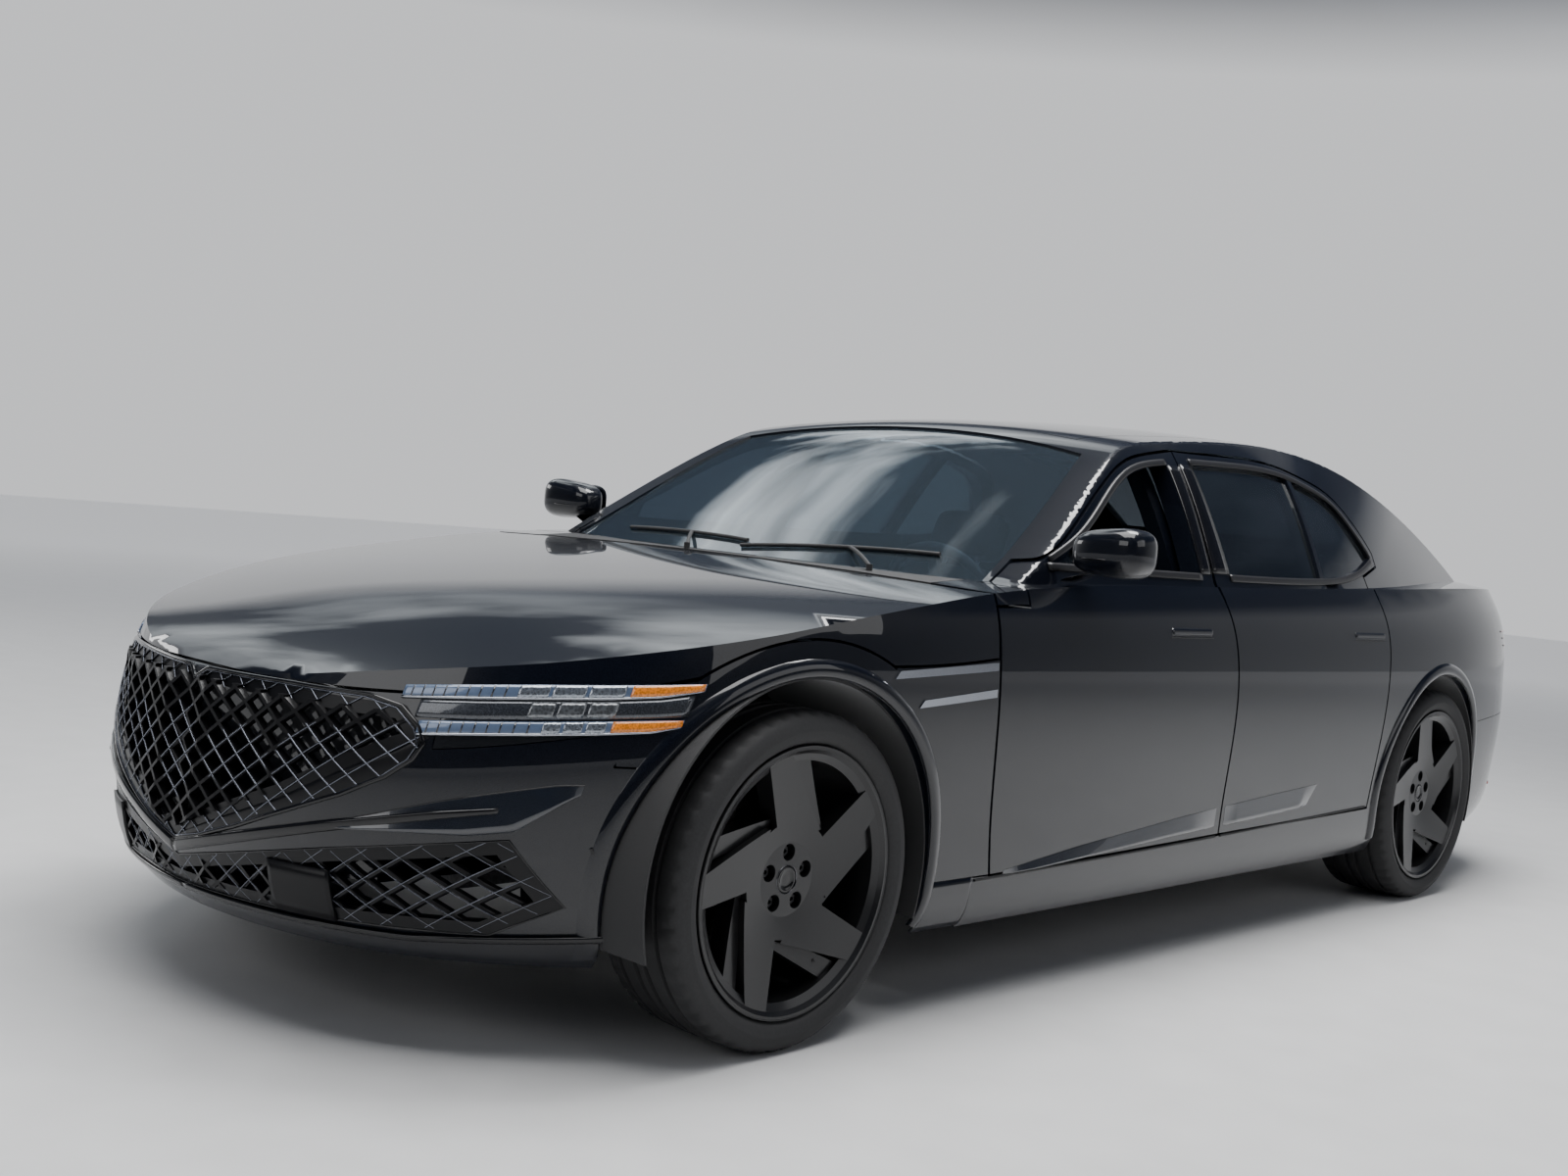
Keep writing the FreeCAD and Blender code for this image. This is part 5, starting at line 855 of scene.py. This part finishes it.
def door_mirrors(sign, side):
    body = "door_front_" + side
    centre = Vector((sign * 1.003, -0.8, 1.09))
    verts, rows, cols = [], 28, 48
    for i in range(rows + 1):
        polar = math.pi * i / rows
        for j in range(cols):
            turn = 2 * math.pi * j / cols
            x = power(math.sin(polar), SQUARE) * power(math.cos(turn), SQUARE)
            y = power(math.sin(polar), SQUARE) * power(math.sin(turn), SQUARE)
            z = power(math.cos(polar), SQUARE)
            slim = 0.88 + 0.12 * x
            y = min(y, 0.8) * (1.0 if y > 0 else 0.98)
            verts.append(centre + Vector((sign * x * 0.101, y * 0.0735 * slim,
                                          z * 0.0675 * slim - 0.004 * (1 - x))))
    faces = [(i * cols + j, i * cols + (j + 1) % cols, (i + 1) * cols + (j + 1) % cols, (i + 1) * cols + j)
             for i in range(rows) for j in range(cols)]
    if sign > 0:
        faces = [face[::-1] for face in faces]
    housing = piece("mirror_housing_" + side, mesh_of("mirror_housing_" + side, verts, faces), paint, body)
    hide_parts("mirror_" + side)
    pane = []
    for j in range(cols):
        turn = 2 * math.pi * j / cols
        pane.append(centre + Vector((sign * power(math.cos(turn), SQUARE) * 0.086, 0.0597,
                                     power(math.sin(turn), SQUARE) * 0.052 - 0.004)))
    face = tuple(range(cols))
    piece("mirror_pane_" + side, mesh_of("mirror_pane_" + side, pane, [face if sign < 0 else face[::-1]]),
          mirror_mat, body,
          smooth=False)
    line("mirror_lip_" + side, [tuple(centre + Vector((sign * 0.098 * math.cos(a),
                                                       -0.071 * math.sin(a) * 0.9, -0.022)))
                                for a in np.linspace(0.15, math.pi - 0.15, 24)], 0.0022, gloss, body)
    rings = ((Vector((sign * 0.893, -0.79, 1.012)), 0.034, 0.05),
             (Vector((sign * 0.922, -0.792, 1.022)), 0.026, 0.042),
             (Vector((sign * 0.955, -0.797, 1.036)), 0.02, 0.034),
             (Vector((sign * 0.985, -0.8, 1.054)), 0.022, 0.036))
    verts = []
    for spot, half_x, half_y in rings:
        for j in range(32):
            turn = 2 * math.pi * j / 32
            lean = Vector((sign * -0.5, 0, 1)).normalized()
            wide = Vector((lean.z, 0, -lean.x))
            verts.append(spot + wide * (power(math.cos(turn), 0.8) * half_x * 0.6) + Vector((0,
                power(math.sin(turn), 0.8) * half_y, 0)))
    faces = [(i * 32 + j, i * 32 + (j + 1) % 32, (i + 1) * 32 + (j + 1) % 32, (i + 1) * 32 + j)
             for i in range(len(rings) - 1) for j in range(32)]
    piece("mirror_stalk_" + side, mesh_of("mirror_stalk_" + side, verts, faces), gloss, body)


both_sides(door_mirrors)


# Tail
for sign, side in ((1, "left"), (-1, "right")):
    for k, z in enumerate((0.58, 0.598, 0.614)):
        pts = [(sign * (0.66 + 0.215 * j / 24), z * HT) for j in range(25)]
        line("tail_line_%d_%s" % (k, side), laid(pts, on_tail, 0.0), 0.003, red_line, "body")
    band("tail_corner_" + side, [(sign * 0.62, 0.3), (sign * 0.83, 0.33)],
         [(sign * 0.62, 0.315), (sign * 0.83, 0.342)],
         on_tail, red_line, "body", 0.001, 0.003, 20, 2)
band("plate_recess_edge", [(-0.275, 0.5), (0.275, 0.5)], [(-0.275, 0.512), (0.275, 0.512)], on_tail, satin,
     "body", 0.0002, 0.0005,
     40, 2)
band("rear_plate", [(-0.26, 0.518), (0.26, 0.518)], [(-0.26, 0.618), (0.26, 0.618)], on_tail, plate_mat,
     "body",
     0.0003, 0.0014, 30, 6)
band("rear_apron", [(-0.72, 0.235), (0.0, 0.225), (0.72, 0.235)], [(-0.7, 0.3), (0.0, 0.292), (0.7, 0.3)],
     on_tail, gloss,
     "body", 0.002, 0.004, 80, 4)
for sign, side in ((1, "left"), (-1, "right")):
    low = [(sign * 0.44, 0.238), (sign * 0.62, 0.243)]
    high = [(sign * 0.45, 0.282), (sign * 0.61, 0.286)]
    band("tail_pipe_trim_" + side, low, high, on_tail, dark_bright, "body", 0.004, 0.006, 24, 4)


# Cabin
def pad(name, low, high, look, turn=None, channels=0, along=0, crown=0.25, body="body"):
    """A crowned cushion with sewn channels, from a fine box drawn in towards its corners."""
    low, high = Vector(low), Vector(high)
    mid, half = (low + high) / 2, (high - low) / 2
    shape = bmesh.new()
    bmesh.ops.create_cube(shape, size=2.0)
    bmesh.ops.subdivide_edges(shape, edges=shape.edges[:], cuts=15, use_grid_fill=True)
    thin = min(range(3), key=lambda k: half[k])
    for vertex in shape.verts:
        p = vertex.co
        u = [p[k] for k in range(3)]
        r = [0.0, 0.0, 0.0]
        for k in range(3):
            others = [u[j] for j in range(3) if j != k]
            pull = 1 - 0.1 * (abs(others[0]) ** 6 + abs(others[1]) ** 6)
            r[k] = u[k] * pull
        if channels and abs(abs(u[thin]) - 1) < 1e-6:
            seam = abs(math.sin(math.pi * channels * (u[along] + 1) / 2))
            edge = (1 - u[along] ** 8)
            r[thin] *= 1 - crown * 0.35 * (1 - seam ** 0.4) * edge
        if abs(abs(u[thin]) - 1) < 1e-6:
            others = [u[j] for j in range(3) if j != thin]
            r[thin] *= 1 - 0.16 * (others[0] ** 4 + others[1] ** 4) / 2
        vertex.co = Vector([mid[k] + r[k] * half[k] for k in range(3)])
    if turn is not None:
        centre, degrees = turn
        bmesh.ops.rotate(shape, verts=shape.verts, cent=Vector(centre),
                         matrix=Matrix.Rotation(math.radians(degrees), 3, "X"))
    mesh = bpy.data.meshes.new(name)
    shape.to_mesh(mesh)
    shape.free()
    obj = piece(name, mesh, look, body)
    sub = obj.modifiers.new("soft", "SUBSURF")
    sub.levels = sub.render_levels = 1
    return obj


def seat(sign, side):
    x = 0.375 * sign
    y, z = -0.33, 0.33
    foot_y, foot_z = y + 0.52 - 0.075, z + 0.075
    lean = -22
    made = [
        pad("seat_cushion_" + side, (x - 0.235, y + 0.004, z + 0.004), (x + 0.235, y + 0.5, z + 0.148),
            leather, None, 5, 1),
        pad("seat_back_" + side, (x - 0.235, foot_y + 0.005, foot_z + 0.04),
            (x + 0.235, foot_y + 0.145, foot_z + 0.635), leather,
            ((x, foot_y, foot_z), lean), 6, 2),
        pad("headrest_" + side, (x - 0.138, foot_y + 0.022, foot_z + 0.68),
            (x + 0.138, foot_y + 0.126, foot_z + 0.842), leather,
            ((x, foot_y, foot_z), lean), 0, 0),
        block("seat_base_" + side, (x - 0.19, y + 0.045, 0.237), (x + 0.19, y + 0.46, z + 0.03), matte,
              "body", 0.012)]
    for k in (-1, 1):
        made.append(block("headrest_post_%s_%d" % (side, k + 1),
                          (x + k * 0.07 - 0.006, foot_y + 0.068, foot_z + 0.6),
                          (x + k * 0.07 + 0.006, foot_y + 0.08, foot_z + 0.71), steel, "body",
                          0.003,
                          ((x, foot_y, foot_z), "X", lean)))
    return made


seats = seat(1, "left") + seat(-1, "right")
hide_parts("front_seats")
y, z = 0.5, 0.33
foot_y, foot_z = y + 0.5 - 0.075, z + 0.075
for k, (x0, x1) in enumerate(((-0.525, -0.175), (-0.172, 0.172), (0.175, 0.525))):
    pad("bench_cushion_%d" % k, (x0, y + 0.004, z + 0.004), (x1, y + 0.48, z + 0.148),
                     leather, None, 4, 1)
    pad("bench_back_%d" % k, (x0, foot_y + 0.005, foot_z + 0.04),
                     (x1, foot_y + 0.145, foot_z + 0.605), leather,
                     ((0, foot_y, foot_z), -18), 5, 2)
for k in (-1, 1):
    pad("bench_rest_%d" % (k + 1), (k * 0.375 - 0.135, foot_y + 0.02, foot_z + 0.6),
                     (k * 0.375 + 0.135, foot_y + 0.126, foot_z + 0.728), leather,
                     ((0, foot_y, foot_z), -18))
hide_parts("rear_seat")
block("cabin_carpet", (-0.73, -1.12, 0.2365), (0.73, 1.2, 0.2405), carpet, "body", 0.001)
block("centre_console", (-0.125, -0.74, 0.428), (0.125, 0.1, 0.56), gloss, "body", 0.02)
block("centre_screen", (-0.16, -0.752, 0.8), (0.16, -0.742, 0.925), screen, "body", 0.004,
      ((0, -0.75, 0.86), "X", -12))
block("dash_trim", (-0.6, -0.75, 0.752), (0.6, -0.744, 0.782), steel, "body", 0.0025)


# Camera, floor and light
CAMERA_SPOT, CAMERA_LENS, SENSOR_WIDTH = (3.2558, -4.4035, 1.118), 39.75, 36.0
FLOOR_REACH = 30
yaw, pitch, roll = 0.744, -0.0454, 0.0938
forward = Vector((-math.sin(yaw) * math.cos(pitch), math.cos(yaw) * math.cos(pitch), math.sin(pitch)))
right = Vector((math.cos(yaw), math.sin(yaw), 0))
upward = right.cross(forward)
right, upward = (right * math.cos(roll) + upward * math.sin(roll),
                 upward * math.cos(roll) - right * math.sin(roll))
camera_data = bpy.data.cameras.new("camera")
camera = bpy.data.objects.new("camera", camera_data)
scene.collection.objects.link(camera)
camera_data.sensor_width = SENSOR_WIDTH
camera_data.lens = CAMERA_LENS
placed = Matrix((right, upward, -forward)).transposed().to_4x4()
placed.translation = Vector(CAMERA_SPOT)
camera.matrix_world = placed
scene.camera = camera

floor_corners = [(x * FLOOR_REACH, y * FLOOR_REACH, 0) for x, y in ((-1, -1), (1, -1), (1, 1), (-1, 1))]
floor_mesh = mesh_of("floor", floor_corners, [(0, 1, 2, 3)])
floor_mesh.materials.append(floor_mat)
# Painted light: far from the car the floor glows a little, so that it meets the pale wall without a dark
# band
floor_tree = floor_mat.node_tree
floor_shader = floor_tree.nodes["Principled BSDF"]
floor_place = floor_tree.nodes.new("ShaderNodeTexCoord")
floor_reach = floor_tree.nodes.new("ShaderNodeVectorMath")
floor_reach.operation = "LENGTH"
floor_painted_light = floor_tree.nodes.new("ShaderNodeMapRange")
for socket, value in (("From Min", 4.0), ("From Max", 16.0), ("To Min", 0.0), ("To Max", 0.42)):
    floor_painted_light.inputs[socket].default_value = value
floor_tree.links.new(floor_place.outputs["Object"], floor_reach.inputs[0])
floor_tree.links.new(floor_reach.outputs["Value"], floor_painted_light.inputs["Value"])
floor_tree.links.new(floor_painted_light.outputs["Result"], floor_shader.inputs["Emission Strength"])
floor_shader.inputs["Emission Color"].default_value = (1.0, 1.0, 1.02, 1.0)
floor = bpy.data.objects.new("floor", floor_mesh)
scene.collection.objects.link(floor)

world = scene.world or bpy.data.worlds.new("studio")
scene.world = world
world.use_nodes = True
tree = world.node_tree
background = tree.nodes["Background"]
where = tree.nodes.new("ShaderNodeTexCoord")
parts = tree.nodes.new("ShaderNodeSeparateXYZ")
tree.links.new(where.outputs["Generated"], parts.inputs["Vector"])


def math_node(kind, first, second):
    node = tree.nodes.new("ShaderNodeMath")
    node.operation = kind
    for socket, value in zip(node.inputs, (first, second)):
        if isinstance(value, (int, float)):
            socket.default_value = value
        else:
            tree.links.new(value, socket)
    return node.outputs["Value"]


def ramp_of(value, stops):
    node = tree.nodes.new("ShaderNodeValToRGB")
    while len(node.color_ramp.elements) < len(stops):
        node.color_ramp.elements.new(0.5)
    for element, (position, color) in zip(node.color_ramp.elements, stops):
        element.position = position
        element.color = tuple(color) + (1,)
    tree.links.new(value, node.inputs["Fac"])
    return node.outputs["Color"]


def blend(share, first, second):
    node = tree.nodes.new("ShaderNodeMix")
    node.data_type = "RGBA"
    tree.links.new(share, node.inputs[0])
    tree.links.new(first, node.inputs[6])
    tree.links.new(second, node.inputs[7])
    return node.outputs[2]


# A pale wall behind the car, a darker room on the near side and broken cloud above
WALL_WAY = (-0.68, 0.73)
BANK_WAY = (-0.62, 0.3, 0.72)
facing = math_node("ADD", math_node("MULTIPLY", parts.outputs["X"], WALL_WAY[0]),
                   math_node("MULTIPLY", parts.outputs["Y"], WALL_WAY[1]))
wall = ramp_of(math_node("ADD", math_node("MULTIPLY", facing, 0.5), 0.5),
               ((0.0, (0.03, 0.033, 0.04)), (0.5, (0.045, 0.05, 0.06)), (0.72, (0.3, 0.31, 0.33)),
                (0.86, (0.78, 0.79, 0.81))))
cloud = tree.nodes.new("ShaderNodeTexNoise")
cloud.inputs["Scale"].default_value = 3.2
cloud.inputs["Detail"].default_value = 6.0
stretch = tree.nodes.new("ShaderNodeMapping")
stretch.inputs["Scale"].default_value = (1.0, 0.55, 2.0)
tree.links.new(where.outputs["Generated"], stretch.inputs["Vector"])
tree.links.new(stretch.outputs["Vector"], cloud.inputs["Vector"])
sky = ramp_of(cloud.outputs["Fac"], ((0.42, (0.012, 0.02, 0.042)), (0.54, (0.055, 0.07, 0.105)),
                                     (0.7, (0.42, 0.43, 0.45))))
height = ramp_of(parts.outputs["Z"], ((0.255, (0, 0, 0)), (0.315, (1, 1, 1))))
# A brighter bank of cloud where the windshield mirrors the sky
bank_place = math_node("ADD", math_node("ADD", math_node("MULTIPLY", parts.outputs["X"], BANK_WAY[0]),
                                        math_node("MULTIPLY", parts.outputs["Y"], BANK_WAY[1])),
                       math_node("MULTIPLY", parts.outputs["Z"], BANK_WAY[2]))
bank = math_node("MULTIPLY", ramp_of(bank_place, ((0.86, (0, 0, 0)), (0.97, (1, 1, 1)))),
                 ramp_of(cloud.outputs["Fac"], ((0.38, (0, 0, 0)), (0.58, (1, 1, 1)))))
bank_color = tree.nodes.new("ShaderNodeRGB")
bank_color.outputs["Color"].default_value = (3.2, 3.4, 3.5, 1.0)
sky = blend(bank, sky, bank_color.outputs["Color"])
tree.links.new(blend(height, wall, sky), background.inputs["Color"])
background.inputs["Strength"].default_value = 1.0


def area_light(name, spot, target, size_x, size_y, power, color=(1, 1, 1)):
    data = bpy.data.lights.new(name, "AREA")
    data.shape = "RECTANGLE"
    data.size, data.size_y, data.energy, data.color = size_x, size_y, power, color
    obj = bpy.data.objects.new(name, data)
    scene.collection.objects.link(obj)
    obj.location = spot
    obj.rotation_euler = (Vector(target) - Vector(spot)).to_track_quat("-Z", "Y").to_euler()


area_light("overhead_1", (0.6, -1.8, 6.0), (0.2, -1.2, 0), 5.0, 5.0, 520)
area_light("overhead_2", (0.5, 1.6, 6.5), (0.1, 1.2, 0), 3.0, 3.0, 420)
area_light("side_fill", (7.5, 1.5, 3.6), (0.9, 0.2, 0.7), 7.0, 3.0, 80)
area_light("front_fill", (0.4, -8.5, 3.6), (0, -2.6, 0.5), 5.0, 2.4, 80)
area_light("far_fill", (-7.5, -3.0, 3.0), (-0.8, 0, 0.8), 3.0, 1.4, 60)
